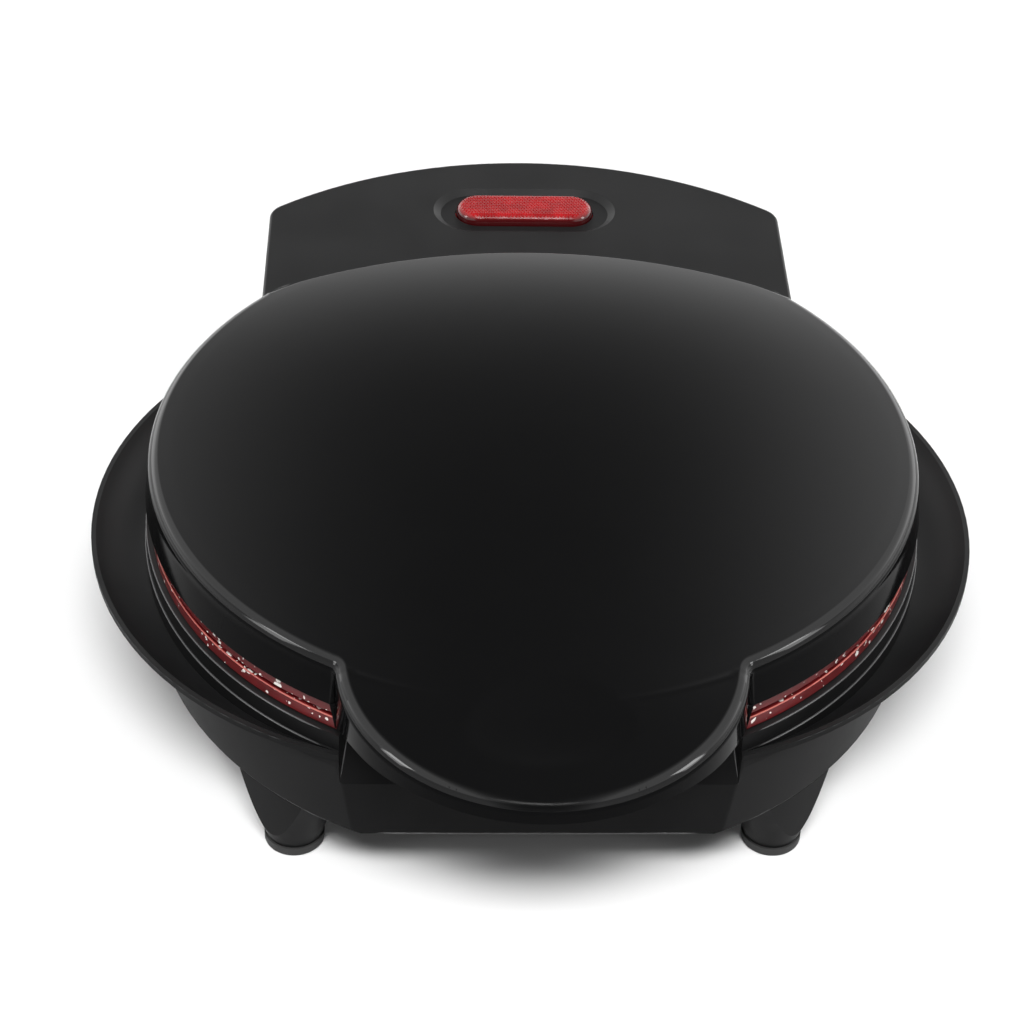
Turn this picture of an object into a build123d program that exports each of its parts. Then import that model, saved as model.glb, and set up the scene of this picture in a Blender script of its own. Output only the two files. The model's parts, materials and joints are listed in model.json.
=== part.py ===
from build123d import *
import os
from math import asin, cos, degrees, radians, sin, sqrt

# Electric omelette maker: a round two-well cooker with a hinged lid.
# Millimetres, +Z up, floor at z = 0, front towards -Y, origin under the middle of the bounding box.
# Plan sizes are measured from the pan axis, a vertical line through (0, PAN_Y).

os.makedirs("parts", exist_ok=True)

# ---------------------------------------------------------------- driving dimensions
PAN_Y = -7.2  # the pan axis stands this far in front of the middle of the whole

# Lid
LID_TOP = 95.0  # highest point of the crown
LID_R = 112.0  # dome radius at its top edge
SKIRT_R = 113.3  # dome radius at the foot of its skirt
SKIRT_Z = 71.5  # foot of the dome skirt
CROWN_R = 652.0  # spherical radius of the crown
LID_EDGE = 3.8  # rounding along the whole upper outline
CROWN_END_R = 104.0  # from here the upper face turns smoothly towards the tongue's tip
WALL = 2.5  # lid wall
GUARD_R = 113.2  # inner face of the wall between the plates and the hollows
GUARD_WALL = 2.2

TONGUE_R = 55.5  # tongue handle, round in plan
TONGUE_Y = -91.3
TONGUE_TIP_Z = 82.0  # upper face at the tip
TONGUE_FOOT_Z = 62.8  # lowest point of its underside, beside the dome
TONGUE_CORNER = 2.5  # rounding in plan between the dome and the tongue
ROOF_SLOPE = 0.07  # rise of the roof over the finger hollow, towards the dome
THUMB_Y = -128.0  # thumb dimple
THUMB_DEPTH = 1.0
THUMB_HALF_X = 24.5
THUMB_HALF_Y = 12.5

BLOCK_X = 83.6  # half width of the rear block
BLOCK_TOP = 81.0
BLOCK_FOOT = 62.4
BLOCK_ARC_Y = 32.9  # centre and radius of the curved rear face
BLOCK_ARC_R = 128.3
BLOCK_CORNER = 8.0
STEP_ARC_Y = -89.8  # curved step between the dome and the block
STEP_ARC_R = 185.0
COVER_T = 2.4
COVER_GAP = 0.4

LENS_Y = 131.0  # indicator lens
LENS_SIZE = (45.0, 15.0)
LENS_DISH = (60.0, 26.0)
LENS_TOP = 82.8

# Plates
PLATE_R = 112.1
PLATE_T = 2.8
PLATE_RIM_T = 3.8
PLATE_RIM_W = 2.6
LOWER_FACE = 66.0
UPPER_FACE = 67.6
LOWER_DEPTH = 14.0
UPPER_DEPTH = 9.0
WELL_R = 96.0
WELL_CORNER = 30.0
WELL_WALL = 2.6
WELL_DRAFT = 12.0
WELL_FILLET = 5.0
DIVIDER = 14.0
BEAD_W = 16.0  # cast bead that holds the heater
BEAD_H = 2.0

# Heaters
HEATER_R = 60.0
TUBE_R = 3.25
TUBE_FIT = 0.05
HEATER_LEG_X = 9.0
HEATER_LEG_END = 85.0
PIN_R = 1.3
PIN_L = 6.0
CLIP_T = 1.0
CLIP_ARC = 8.0
CLIP_AZIMUTHS = (45, 135, 225, 315)

# Base
BASE_WALL = 2.4
DRUM_FOOT_Z = 25.2
DRUM_FOOT_R = 112.4
DRUM_R = 114.1
DRUM_SHOULDER_Z = 50.0
LEDGE_Z = 56.0
RIM_R = 113.6
RIM_Z = 61.4
FRONT_Y = -100.2  # flat front face
SCOOP_Z = 44.0  # foot of the finger scoop
SCOOP_TOP_Y = -93.0
SCOOP_X_FRONT = 54.3
SCOOP_X_BACK = 51.5
WING_X = 21.7  # the wings are round about axes at (+-WING_X, WING_Y)
WING_Y = 2.0
WING_R = 108.6
WING_T = 2.0
LIP_W = 1.4
SADDLE_X = 62.0
SADDLE_Y = 118.0
SADDLE_TOP = 49.2

# Hinge
HINGE_Y = 128.0
HINGE_Z = 53.0
HINGE_X = 51.0  # middle of each lid arm
ARM_W = 9.4
ARM_R = 8.0
EAR_W = 6.0
EAR_R = 7.5
EAR_OFFSET = 8.0  # from the arm's middle to each ear's middle
HINGE_PIN_R = 2.5
RUNNING_FIT = 0.05
PRESS_FIT = 0.02

# Bottom cover, legs and feet
FLOOR_Z = 24.9
FLOOR_T = 2.4
FLOOR_R = 109.4
FLOOR_FRONT_Y = -97.4
LEG_X = 68.5
LEG_Y = 76.0
LEG_TOP_R = 15.0
LEG_FOOT_R = 8.0
LEG_TRIM_R = 111.8
LEG_WALL = 2.4
PAD_R = 8.6
PAD_T = 3.0
PAD_STEM_R = 3.0
PAD_STEM_L = 2.6
POST_R = 6.0
POST_SHOULDER_R = 8.0
POST_SHOULDER_Z = 36.0
POST_TOP = 50.0
PLATE_SCREW_Y = 42.0
COVER_BOSS_R = 5.0
COVER_BOSS_AT = 105.5
COVER_BOSS_AZ = (20, 160, 200, 340)
COVER_BOSS_TOP = 44.0

# ---------------------------------------------------------------- shared planes and helpers
PAN_AXIS = Axis((0, PAN_Y, 0), (0, 0, 1))
FRONT_SECTION = Plane(origin=(0, PAN_Y, 0), x_dir=(1, 0, 0), z_dir=(0, -1, 0))
SIDE_SECTION = Plane(origin=(0, PAN_Y, 0), x_dir=(0, 1, 0), z_dir=(1, 0, 0))
UPRIGHT = (Align.CENTER, Align.CENTER, Align.MIN)


def level(z):
    """Horizontal plane at height z with its origin on the pan axis."""
    return Plane(origin=(0, PAN_Y, z))


def section_at(azimuth):
    """Vertical half plane through the pan axis at an azimuth in degrees."""
    a = radians(azimuth)
    return Plane(origin=(0, PAN_Y, 0), x_dir=(cos(a), sin(a), 0), z_dir=(sin(a), -cos(a), 0))


def side_plane(x):
    """Vertical plane at X = x; its own x runs along +Y and its y along +Z."""
    return Plane(origin=(x, PAN_Y, 0), x_dir=(0, 1, 0), z_dir=(1, 0, 0))


def crown_z(r, inset=0.0):
    """Height of the crown, or of a shell inset below it, at radius r."""
    return LID_TOP - CROWN_R + sqrt((CROWN_R - inset) ** 2 - r**2)


# ---------------------------------------------------------------- lid cover
def behind_step(radius, floor):
    """All that lies behind the curved step of the lid and above floor."""
    depth = 120.0
    with BuildPart() as region:
        with BuildSketch(level(floor)):
            with Locations((0, STEP_ARC_Y + STEP_ARC_R)):
                Rectangle(3 * LID_R, depth)
            with Locations((0, STEP_ARC_Y)):
                Circle(radius, mode=Mode.SUBTRACT)
        extrude(amount=LID_TOP)
    return region.part


def crown_space(inset):
    """Space under the crown, inset below its surface, with the curved step cut into its rear."""
    top_r = LID_R - inset
    cut = behind_step(STEP_ARC_R - inset, BLOCK_TOP - inset)
    with BuildPart() as body:
        with BuildSketch(FRONT_SECTION) as section:
            with BuildLine():
                ThreePointArc(
                    (0, crown_z(0, inset)),
                    (top_r / 2, crown_z(top_r / 2, inset)),
                    (top_r, crown_z(top_r, inset)),
                )
                Polyline(
                    (top_r, crown_z(top_r, inset)),
                    (SKIRT_R - inset, SKIRT_Z),
                    (0, SKIRT_Z),
                    (0, crown_z(0, inset)),
                )
            make_face()
            fillet(section.vertices().sort_by(Axis.X)[-2], LID_EDGE - inset)
        revolve(axis=PAN_AXIS)
        add(cut, mode=Mode.SUBTRACT)
    return body.part


def lid_plan(plane):
    """Outline of the dome and the tongue together, with rounded inner corners."""
    dome_reach = LID_R + TONGUE_CORNER
    tongue_reach = TONGUE_R + TONGUE_CORNER
    corner_y = (dome_reach**2 - tongue_reach**2 + TONGUE_Y**2) / (2 * TONGUE_Y)
    corner = Vector(sqrt(dome_reach**2 - corner_y**2), corner_y)
    tongue_centre = Vector(0, TONGUE_Y)
    on_dome = corner * (LID_R / dome_reach)
    on_tongue = tongue_centre + (corner - tongue_centre) * (TONGUE_R / tongue_reach)
    inward = ((on_dome + on_tongue) * 0.5 - corner).normalized()
    between = corner + inward * TONGUE_CORNER
    with BuildSketch(plane) as plan:
        with BuildLine():
            ThreePointArc(on_dome, (0, LID_R), (-on_dome.X, on_dome.Y))
            ThreePointArc((-on_dome.X, on_dome.Y), (-between.X, between.Y), (-on_tongue.X, on_tongue.Y))
            ThreePointArc((-on_tongue.X, on_tongue.Y), (0, TONGUE_Y - TONGUE_R), on_tongue)
            ThreePointArc(on_tongue, between, on_dome)
        make_face()
    return plan.sketch


def dome_and_tongue():
    """Dome and tongue handle as one body: shared upper face, rounded outline, curved underside."""
    reach = TONGUE_Y - TONGUE_R
    end_slope = CROWN_END_R / sqrt(CROWN_R**2 - CROWN_END_R**2)
    tip_slope = (crown_z(LID_R) - TONGUE_TIP_Z) / (-reach - LID_R)
    curvature_x = THUMB_HALF_X**2 / (2 * THUMB_DEPTH)
    curvature_y = THUMB_HALF_Y**2 / (2 * THUMB_DEPTH)
    thumb_z = TONGUE_TIP_Z + tip_slope * (THUMB_Y - reach) - THUMB_DEPTH
    cut = behind_step(STEP_ARC_R, BLOCK_TOP)
    with BuildPart() as body:
        extrude(lid_plan(level(TONGUE_FOOT_Z)), amount=LID_TOP)
        with BuildSketch(FRONT_SECTION):
            with BuildLine():
                ThreePointArc(
                    (0, LID_TOP),
                    (CROWN_END_R / 2, crown_z(CROWN_END_R / 2)),
                    (CROWN_END_R, crown_z(CROWN_END_R)),
                )
                Spline(
                    (CROWN_END_R, crown_z(CROWN_END_R)),
                    (LID_R, crown_z(LID_R)),
                    (-reach + 4, TONGUE_TIP_Z - 4 * tip_slope),
                    tangents=[(1, -end_slope), (1, -tip_slope)],
                )
                Polyline(
                    (-reach + 4, TONGUE_TIP_Z - 4 * tip_slope),
                    (-reach + 4, 0),
                    (0, 0),
                    (0, LID_TOP),
                )
            make_face()
        revolve(axis=PAN_AXIS, mode=Mode.INTERSECT)
        outline = body.edges().filter_by(
            lambda e: e.bounding_box().min.Z > SKIRT_Z
            and (e @ 0.5 - Vector(0, PAN_Y, (e @ 0.5).Z)).length > CROWN_END_R + 1
        )
        fillet(outline, LID_EDGE)
        with BuildSketch(FRONT_SECTION):
            Polygon(
                (0, SKIRT_Z),
                (SKIRT_R, SKIRT_Z),
                (LID_R, crown_z(LID_R) - LID_EDGE),
                (0, crown_z(LID_R) - LID_EDGE),
                align=None,
            )
        revolve(axis=PAN_AXIS)
        with BuildSketch(SIDE_SECTION):
            with BuildLine():
                Polyline(
                    (-98.0, TONGUE_FOOT_Z),
                    (-reach, TONGUE_FOOT_Z),
                    (-reach, LID_TOP + 1),
                    (reach - 1, LID_TOP + 1),
                    (reach - 1, 75.7),
                    (-139.0, 75.7),
                    (-119.0, 73.0),
                )
                TangentArc((-119.0, 73.0), (-98.0, TONGUE_FOOT_Z), tangent=(20.0, -2.7))
            make_face()
        extrude(amount=2 * LID_R, both=True, mode=Mode.INTERSECT)
        with Locations(Location((0, PAN_Y + THUMB_Y, thumb_z + curvature_x), (90, 0, 0))):
            Torus(curvature_x - curvature_y, curvature_y, mode=Mode.SUBTRACT)
        add(cut, mode=Mode.SUBTRACT)
    return body.part


def block_plan(plane, inset):
    """Plan of the rear block on a plane, shrunk by inset."""
    half = BLOCK_X - inset
    arc_r = BLOCK_ARC_R - inset
    front = 60.0
    corner_y = BLOCK_ARC_Y + sqrt(arc_r**2 - half**2)
    with BuildSketch(plane) as plan:
        with BuildLine():
            ThreePointArc((-half, corner_y), (0, BLOCK_ARC_Y + arc_r), (half, corner_y))
            Polyline((half, corner_y), (half, front), (-half, front), (-half, corner_y))
        make_face()
        fillet(plan.vertices().group_by(Axis.Y)[-1], BLOCK_CORNER - inset)
    return plan.sketch


def rear_block():
    """Body of the rear block with its rounded upper edge and the dished lens recess."""
    with BuildPart() as body:
        extrude(block_plan(level(BLOCK_FOOT), 0), amount=BLOCK_TOP - BLOCK_FOOT)
        fillet(body.faces().sort_by(Axis.Z)[-1].edges(), 1.0)
    return body.part


def lid_hollows():
    """Space inside the lid: over the plates, in the tongue and in the rear block."""
    roof = TONGUE_TIP_Z - WALL
    reach = TONGUE_Y - TONGUE_R
    with BuildPart() as hollow:
        with BuildSketch(level(BLOCK_FOOT - 5)):
            with Locations((0, TONGUE_Y)):
                Circle(TONGUE_R - WALL)
        extrude(amount=LID_TOP - BLOCK_FOOT)
        with BuildSketch(SIDE_SECTION):
            Polygon(
                (reach, 50),
                (0, 50),
                (0, roof - ROOF_SLOPE * reach),
                (reach, roof),
                align=None,
            )
        extrude(amount=TONGUE_R, both=True, mode=Mode.INTERSECT)
        extrude(block_plan(level(BLOCK_FOOT - 5), WALL), amount=BLOCK_TOP - WALL - BLOCK_FOOT + 5)
        with BuildSketch(level(BLOCK_FOOT - 10)):
            Circle(GUARD_R + GUARD_WALL)
        extrude(amount=LID_TOP, mode=Mode.SUBTRACT)
        with BuildSketch(level(BLOCK_FOOT - 10)):
            Circle(GUARD_R)
        extrude(amount=SKIRT_Z - BLOCK_FOOT + 10)
    return hollow.part


def hinge_arm_profile(plane):
    """Outline of a lid arm: round the hinge axis, widening up into the block."""
    with BuildSketch(plane) as outline:
        with Locations((HINGE_Y, HINGE_Z)):
            Circle(ARM_R)
        with Locations((HINGE_Y, BLOCK_TOP - WALL)):
            Rectangle(20, 2)
        make_hull()
    return outline.sketch


BLOCK_SCREWS = [(-72, 112), (72, 112), (-30, 150), (30, 150)]

dome_outer = dome_and_tongue()
dome_inner = crown_space(WALL)
block_outer = rear_block()
hollows = lid_hollows()

with BuildPart() as tongue_ribs:
    with BuildSketch(level(76.6)):
        with Locations((-24, -125), (0, -125), (24, -125)):
            Rectangle(1.8, 40)
        with Locations((0, TONGUE_Y)):
            Circle(TONGUE_R - 1, mode=Mode.INTERSECT)
    extrude(amount=5.2)

with BuildPart() as lid_cover:
    add(dome_outer)
    add(block_outer)
    add(hollows, mode=Mode.SUBTRACT)
    add(dome_inner, mode=Mode.SUBTRACT)
    add(tongue_ribs.part)
    # Dished recess and slot of the indicator lens.
    with BuildSketch(level(BLOCK_TOP)):
        with Locations((0, LENS_Y)):
            SlotOverall(LENS_DISH[0], LENS_DISH[1])
    extrude(amount=-1.4, taper=60, mode=Mode.SUBTRACT)
    with BuildSketch(level(BLOCK_TOP)):
        with Locations((0, LENS_Y)):
            SlotOverall(LENS_SIZE[0] + 0.6, LENS_SIZE[1] + 0.6)
    extrude(amount=-3 * WALL, mode=Mode.SUBTRACT)
    # Hinge arms, each with a running bore for its pin.
    for x in (-HINGE_X, HINGE_X):
        extrude(hinge_arm_profile(side_plane(x)), amount=ARM_W / 2, both=True)
        with BuildSketch(side_plane(x)):
            with Locations((HINGE_Y, HINGE_Z)):
                Circle(HINGE_PIN_R + RUNNING_FIT)
        extrude(amount=ARM_W, both=True, mode=Mode.SUBTRACT)
    # Bosses for the block cover, and for the upper plate in the middle of the dome.
    with BuildSketch(level(BLOCK_FOOT + COVER_T)):
        with Locations(*BLOCK_SCREWS):
            Circle(3.5)
    extrude(amount=BLOCK_TOP - WALL - BLOCK_FOOT - COVER_T + 1)
    with BuildSketch(level(UPPER_FACE + PLATE_T)):
        with Locations((0, -PLATE_SCREW_Y), (0, PLATE_SCREW_Y)):
            Circle(4.0)
    extrude(amount=LID_TOP - WALL - UPPER_FACE - PLATE_T - 1)
    with BuildSketch(level(BLOCK_FOOT + COVER_T)):
        with Locations(*BLOCK_SCREWS):
            Circle(1.35)
    extrude(amount=10, mode=Mode.SUBTRACT)
    with BuildSketch(level(UPPER_FACE + PLATE_T)):
        with Locations((0, -PLATE_SCREW_Y), (0, PLATE_SCREW_Y)):
            Circle(1.62)
    extrude(amount=14, mode=Mode.SUBTRACT)
    # Lead notch in the guard wall, between the dome and the block.
    with BuildSketch(level(72.5)):
        with Locations((0, GUARD_R)):
            Rectangle(30, 14)
    extrude(amount=4, mode=Mode.SUBTRACT)

lid_cover.part.label = "lid_cover"
export_step(lid_cover.part, "parts/lid_cover.step")

# ---------------------------------------------------------------- block cover
with BuildPart() as block_cover:
    extrude(block_plan(level(BLOCK_FOOT), WALL + COVER_GAP), amount=COVER_T)
    with BuildSketch(level(BLOCK_FOOT)):
        Circle(GUARD_R + GUARD_WALL + COVER_GAP)
    extrude(amount=COVER_T, mode=Mode.SUBTRACT)
    with BuildSketch(level(BLOCK_FOOT)):
        with Locations((-HINGE_X, HINGE_Y), (HINGE_X, HINGE_Y)):
            Rectangle(ARM_W + 1, 21)
        with Locations(*BLOCK_SCREWS):
            Circle(1.7)
        with GridLocations(6, 0, 5, 1):
            with Locations((0, 146)):
                SlotOverall(12, 2.4, rotation=90)
    extrude(amount=COVER_T, mode=Mode.SUBTRACT)
    with Locations(*[(x, PAN_Y + y, BLOCK_FOOT) for x, y in BLOCK_SCREWS]):
        Cone(3.0, 1.7, 1.5, align=UPRIGHT, mode=Mode.SUBTRACT)

block_cover.part.label = "block_cover"
export_step(block_cover.part, "parts/block_cover.step")

with BuildPart() as block_cover_screws:
    with Locations(*[(x, PAN_Y + y, BLOCK_FOOT) for x, y in BLOCK_SCREWS]):
        Cone(2.9, 1.3, 1.5, align=UPRIGHT)
        Cylinder(1.3, 11.5, align=UPRIGHT)

block_cover_screws.part.label = "block_cover_screws"
export_step(block_cover_screws.part, "parts/block_cover_screws.step")

# ---------------------------------------------------------------- indicator lamp
LENS_FLANGE_Z = 76.8
LENS_FLANGE_T = 1.6
LENS_WALL = 1.8

with BuildPart() as indicator_lens:
    with BuildSketch(level(LENS_FLANGE_Z)):
        with Locations((0, LENS_Y)):
            SlotOverall(LENS_SIZE[0], LENS_SIZE[1])
    extrude(amount=LENS_TOP - LENS_FLANGE_Z)
    fillet(indicator_lens.faces().sort_by(Axis.Z)[-1].edges(), 2.6)
    with BuildSketch(level(LENS_FLANGE_Z)):
        with Locations((0, LENS_Y)):
            SlotOverall(LENS_SIZE[0] + 5, LENS_SIZE[1] + 5)
    extrude(amount=LENS_FLANGE_T)
    with BuildSketch(level(LENS_FLANGE_Z)):
        with Locations((0, LENS_Y)):
            SlotOverall(LENS_SIZE[0] - 2 * LENS_WALL, LENS_SIZE[1] - 2 * LENS_WALL)
    extrude(amount=LENS_TOP - LENS_WALL - LENS_FLANGE_Z, mode=Mode.SUBTRACT)

indicator_lens.part.label = "indicator_lens"
export_step(indicator_lens.part, "parts/indicator_lens.step")

LAMP_Z = 72.0
LAMP_R = 3.0
HOLDER_FOOT = BLOCK_FOOT + COVER_T

with BuildPart() as lamp_holder:
    with BuildSketch(level(HOLDER_FOOT)):
        with Locations((0, LENS_Y)):
            Rectangle(26, 10)
    extrude(amount=2)
    with BuildSketch(level(HOLDER_FOOT + 2)):
        with Locations((-8, LENS_Y), (8, LENS_Y)):
            Rectangle(2.4, 8)
    extrude(amount=LAMP_Z - HOLDER_FOOT - 2)
    with BuildSketch(side_plane(0)):
        with Locations((LENS_Y, LAMP_Z)):
            Circle(LAMP_R)
    extrude(amount=15, both=True, mode=Mode.SUBTRACT)

lamp_holder.part.label = "lamp_holder"
export_step(lamp_holder.part, "parts/lamp_holder.step")

with BuildPart() as neon_lamp:
    with BuildSketch(side_plane(0)):
        with Locations((LENS_Y, LAMP_Z)):
            Circle(LAMP_R - 0.05)
    extrude(amount=11, both=True)
    fillet(neon_lamp.edges().filter_by(GeomType.CIRCLE), 1.5)

neon_lamp.part.label = "neon_lamp"
export_step(neon_lamp.part, "parts/neon_lamp.step")


# ---------------------------------------------------------------- plates
def back_of(face, sign):
    """Plane on a plate's cooking face that looks into its back."""
    return Plane(origin=(0, PAN_Y, face), x_dir=(1, 0, 0), z_dir=(0, 0, sign))


def wells(plane, grow):
    """The two half-moon outlines left and right of the divider, grown by grow."""
    with BuildSketch(plane) as outline:
        Circle(WELL_R + grow)
        Rectangle(DIVIDER - 2 * grow, 3 * WELL_R, mode=Mode.SUBTRACT)
        fillet(outline.vertices(), WELL_CORNER + grow)
    return outline.sketch


def plate_body(face, sign, depth):
    """Cast plate: flat land with a turned rim, two wells and the heater bead on its back."""
    plane = back_of(face, sign)
    bead_face = depth + PLATE_T + BEAD_H
    with BuildPart() as body:
        with BuildSketch(plane):
            Circle(PLATE_R)
        extrude(amount=PLATE_RIM_T)
        with BuildSketch(plane.offset(PLATE_T)):
            Circle(PLATE_R - PLATE_RIM_W)
        extrude(amount=PLATE_RIM_T, mode=Mode.SUBTRACT)
        extrude(wells(plane, WELL_WALL), amount=depth + PLATE_T, taper=WELL_DRAFT)
        with BuildSketch(plane.offset(depth + 1)):
            Circle(HEATER_R + BEAD_W / 2)
            Circle(HEATER_R - BEAD_W / 2, mode=Mode.SUBTRACT)
        extrude(amount=bead_face - depth - 1)
        extrude(wells(plane, 0), amount=depth, taper=WELL_DRAFT, mode=Mode.SUBTRACT)
        well_floors = body.edges().filter_by(
            lambda edge: abs(abs(edge.center().Z - face) - depth) < 0.01
            and edge.bounding_box().size.Z < 0.01
            and sign * (edge.center().Z - face) > 0
        )
        fillet(well_floors, WELL_FILLET)
    return body.part


def heater_shape(z, tube_r):
    """Heater tube: a ring open at the rear with two legs running back, at height z."""
    half_gap = degrees(asin(HEATER_LEG_X / HEATER_R))
    leg_start = HEATER_R * cos(radians(half_gap))
    with BuildPart() as tube:
        with BuildSketch(section_at(90 + half_gap)):
            with Locations((HEATER_R, z)):
                Circle(tube_r)
        revolve(axis=PAN_AXIS, revolution_arc=360 - 2 * half_gap)
        for x in (-HEATER_LEG_X, HEATER_LEG_X):
            with BuildSketch(Plane(origin=(x, PAN_Y + leg_start, z), z_dir=(0, 1, 0))):
                Circle(tube_r)
            extrude(amount=HEATER_LEG_END - leg_start)
            with Locations((x, PAN_Y + leg_start, z)):
                Sphere(tube_r)
    return tube.part


def heater_body(z):
    """Heater tube with its two cold pins."""
    ring = heater_shape(z, TUBE_R)
    with BuildPart() as heater:
        add(ring)
        for x in (-HEATER_LEG_X, HEATER_LEG_X):
            with BuildSketch(Plane(origin=(x, PAN_Y + HEATER_LEG_END - 1, z), z_dir=(0, 1, 0))):
                Circle(PIN_R)
            extrude(amount=PIN_L + 1)
    return heater.part


def clip_bodies(z, sign):
    """Saddle clips over the heater ring; sign points away from the plate."""
    arch = TUBE_R + 0.2
    foot = BEAD_W / 2
    with BuildPart() as clips:
        for azimuth in CLIP_AZIMUTHS:
            with BuildSketch(section_at(azimuth - CLIP_ARC / 2)) as profile:
                with Locations((HEATER_R, z)):
                    Circle(arch + CLIP_T)
                with Locations((HEATER_R, z + sign * CLIP_T / 2)):
                    Rectangle(2 * foot, CLIP_T)
                with Locations((HEATER_R, z)):
                    Circle(arch, mode=Mode.SUBTRACT)
                with Locations((HEATER_R, z - sign * foot)):
                    Rectangle(3 * foot, 2 * foot, mode=Mode.SUBTRACT)
            revolve(profile.sketch, axis=PAN_AXIS, revolution_arc=CLIP_ARC)
    return clips.part


lower_heater_z = LOWER_FACE - LOWER_DEPTH - PLATE_T - BEAD_H
upper_heater_z = UPPER_FACE + UPPER_DEPTH + PLATE_T + BEAD_H
lower_casting = plate_body(LOWER_FACE, -1, LOWER_DEPTH)
upper_casting = plate_body(UPPER_FACE, 1, UPPER_DEPTH)
lower_groove = heater_shape(lower_heater_z, TUBE_R + TUBE_FIT)
upper_groove = heater_shape(upper_heater_z, TUBE_R + TUBE_FIT)
PLATE_SCREWS = [(0, -PLATE_SCREW_Y), (0, PLATE_SCREW_Y)]

with BuildPart() as lower_plate:
    add(lower_casting)
    with BuildSketch(level(POST_TOP)):
        with Locations(*PLATE_SCREWS):
            Circle(POST_R - 0.5)
    extrude(amount=LOWER_FACE - PLATE_T - POST_TOP + 1)
    with BuildSketch(level(POST_TOP)):
        with Locations(*PLATE_SCREWS):
            Circle(2.02)
    extrude(amount=11, mode=Mode.SUBTRACT)
    add(lower_groove, mode=Mode.SUBTRACT)

lower_plate.part.label = "lower_plate"
export_step(lower_plate.part, "parts/lower_plate.step")

with BuildPart() as upper_plate:
    add(upper_casting)
    add(upper_groove, mode=Mode.SUBTRACT)
    with BuildSketch(level(UPPER_FACE)):
        with Locations(*PLATE_SCREWS):
            Circle(1.8)
    extrude(amount=PLATE_T, mode=Mode.SUBTRACT)
    with Locations(*[(x, PAN_Y + y, UPPER_FACE) for x, y in PLATE_SCREWS]):
        Cone(3.6, 1.8, 1.9, align=UPRIGHT, mode=Mode.SUBTRACT)

upper_plate.part.label = "upper_plate"
export_step(upper_plate.part, "parts/upper_plate.step")

with BuildPart() as upper_plate_screws:
    with Locations(*[(x, PAN_Y + y, UPPER_FACE) for x, y in PLATE_SCREWS]):
        Cone(3.5, 1.6, 1.9, align=UPRIGHT)
        Cylinder(1.6, 16, align=UPRIGHT)

upper_plate_screws.part.label = "upper_plate_screws"
export_step(upper_plate_screws.part, "parts/upper_plate_screws.step")

# ---------------------------------------------------------------- heaters, clips, reflectors
lower_tube = heater_body(lower_heater_z)
with BuildPart() as lower_heater:
    add(lower_tube)
lower_heater.part.label = "lower_heater"
export_step(lower_heater.part, "parts/lower_heater.step")

upper_tube = heater_body(upper_heater_z)
with BuildPart() as upper_heater:
    add(upper_tube)
upper_heater.part.label = "upper_heater"
export_step(upper_heater.part, "parts/upper_heater.step")

lower_clips = clip_bodies(lower_heater_z, -1)
with BuildPart() as lower_heater_clips:
    add(lower_clips)
lower_heater_clips.part.label = "lower_heater_clips"
export_step(lower_heater_clips.part, "parts/lower_heater_clips.step")

upper_clips = clip_bodies(upper_heater_z, 1)
with BuildPart() as upper_heater_clips:
    add(upper_clips)
upper_heater_clips.part.label = "upper_heater_clips"
export_step(upper_heater_clips.part, "parts/upper_heater_clips.step")

REFLECTOR_R = 89.0
REFLECTOR_T = 0.6
REFLECTOR_RIM = 6.0

with BuildPart() as lower_reflector:
    with BuildSketch(level(POST_SHOULDER_Z)):
        Circle(REFLECTOR_R)
    extrude(amount=REFLECTOR_RIM)
    with BuildSketch(level(POST_SHOULDER_Z + REFLECTOR_T)):
        Circle(REFLECTOR_R - REFLECTOR_T)
    extrude(amount=REFLECTOR_RIM, mode=Mode.SUBTRACT)
    with BuildSketch(level(POST_SHOULDER_Z)):
        with Locations(*PLATE_SCREWS):
            Circle(POST_R + 0.3)
        with Locations((0, 72)):
            SlotOverall(26, 9)
    extrude(amount=REFLECTOR_T, mode=Mode.SUBTRACT)

lower_reflector.part.label = "lower_reflector"
export_step(lower_reflector.part, "parts/lower_reflector.step")

SHIELD_R = 78.0
SHIELD_Z = 86.0
SHIELD_T = 0.5
shield_foot = UPPER_FACE + UPPER_DEPTH + PLATE_T

with BuildPart() as upper_reflector:
    with BuildSketch(level(SHIELD_Z)):
        Circle(SHIELD_R)
        with Locations(*PLATE_SCREWS):
            Circle(4.4, mode=Mode.SUBTRACT)
    extrude(amount=SHIELD_T)
    with BuildSketch(level(shield_foot)):
        with PolarLocations(SHIELD_R - 4, 4, start_angle=22):
            Rectangle(SHIELD_T, 12)
    extrude(amount=SHIELD_Z - shield_foot)

upper_reflector.part.label = "upper_reflector"
export_step(upper_reflector.part, "parts/upper_reflector.step")


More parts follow.
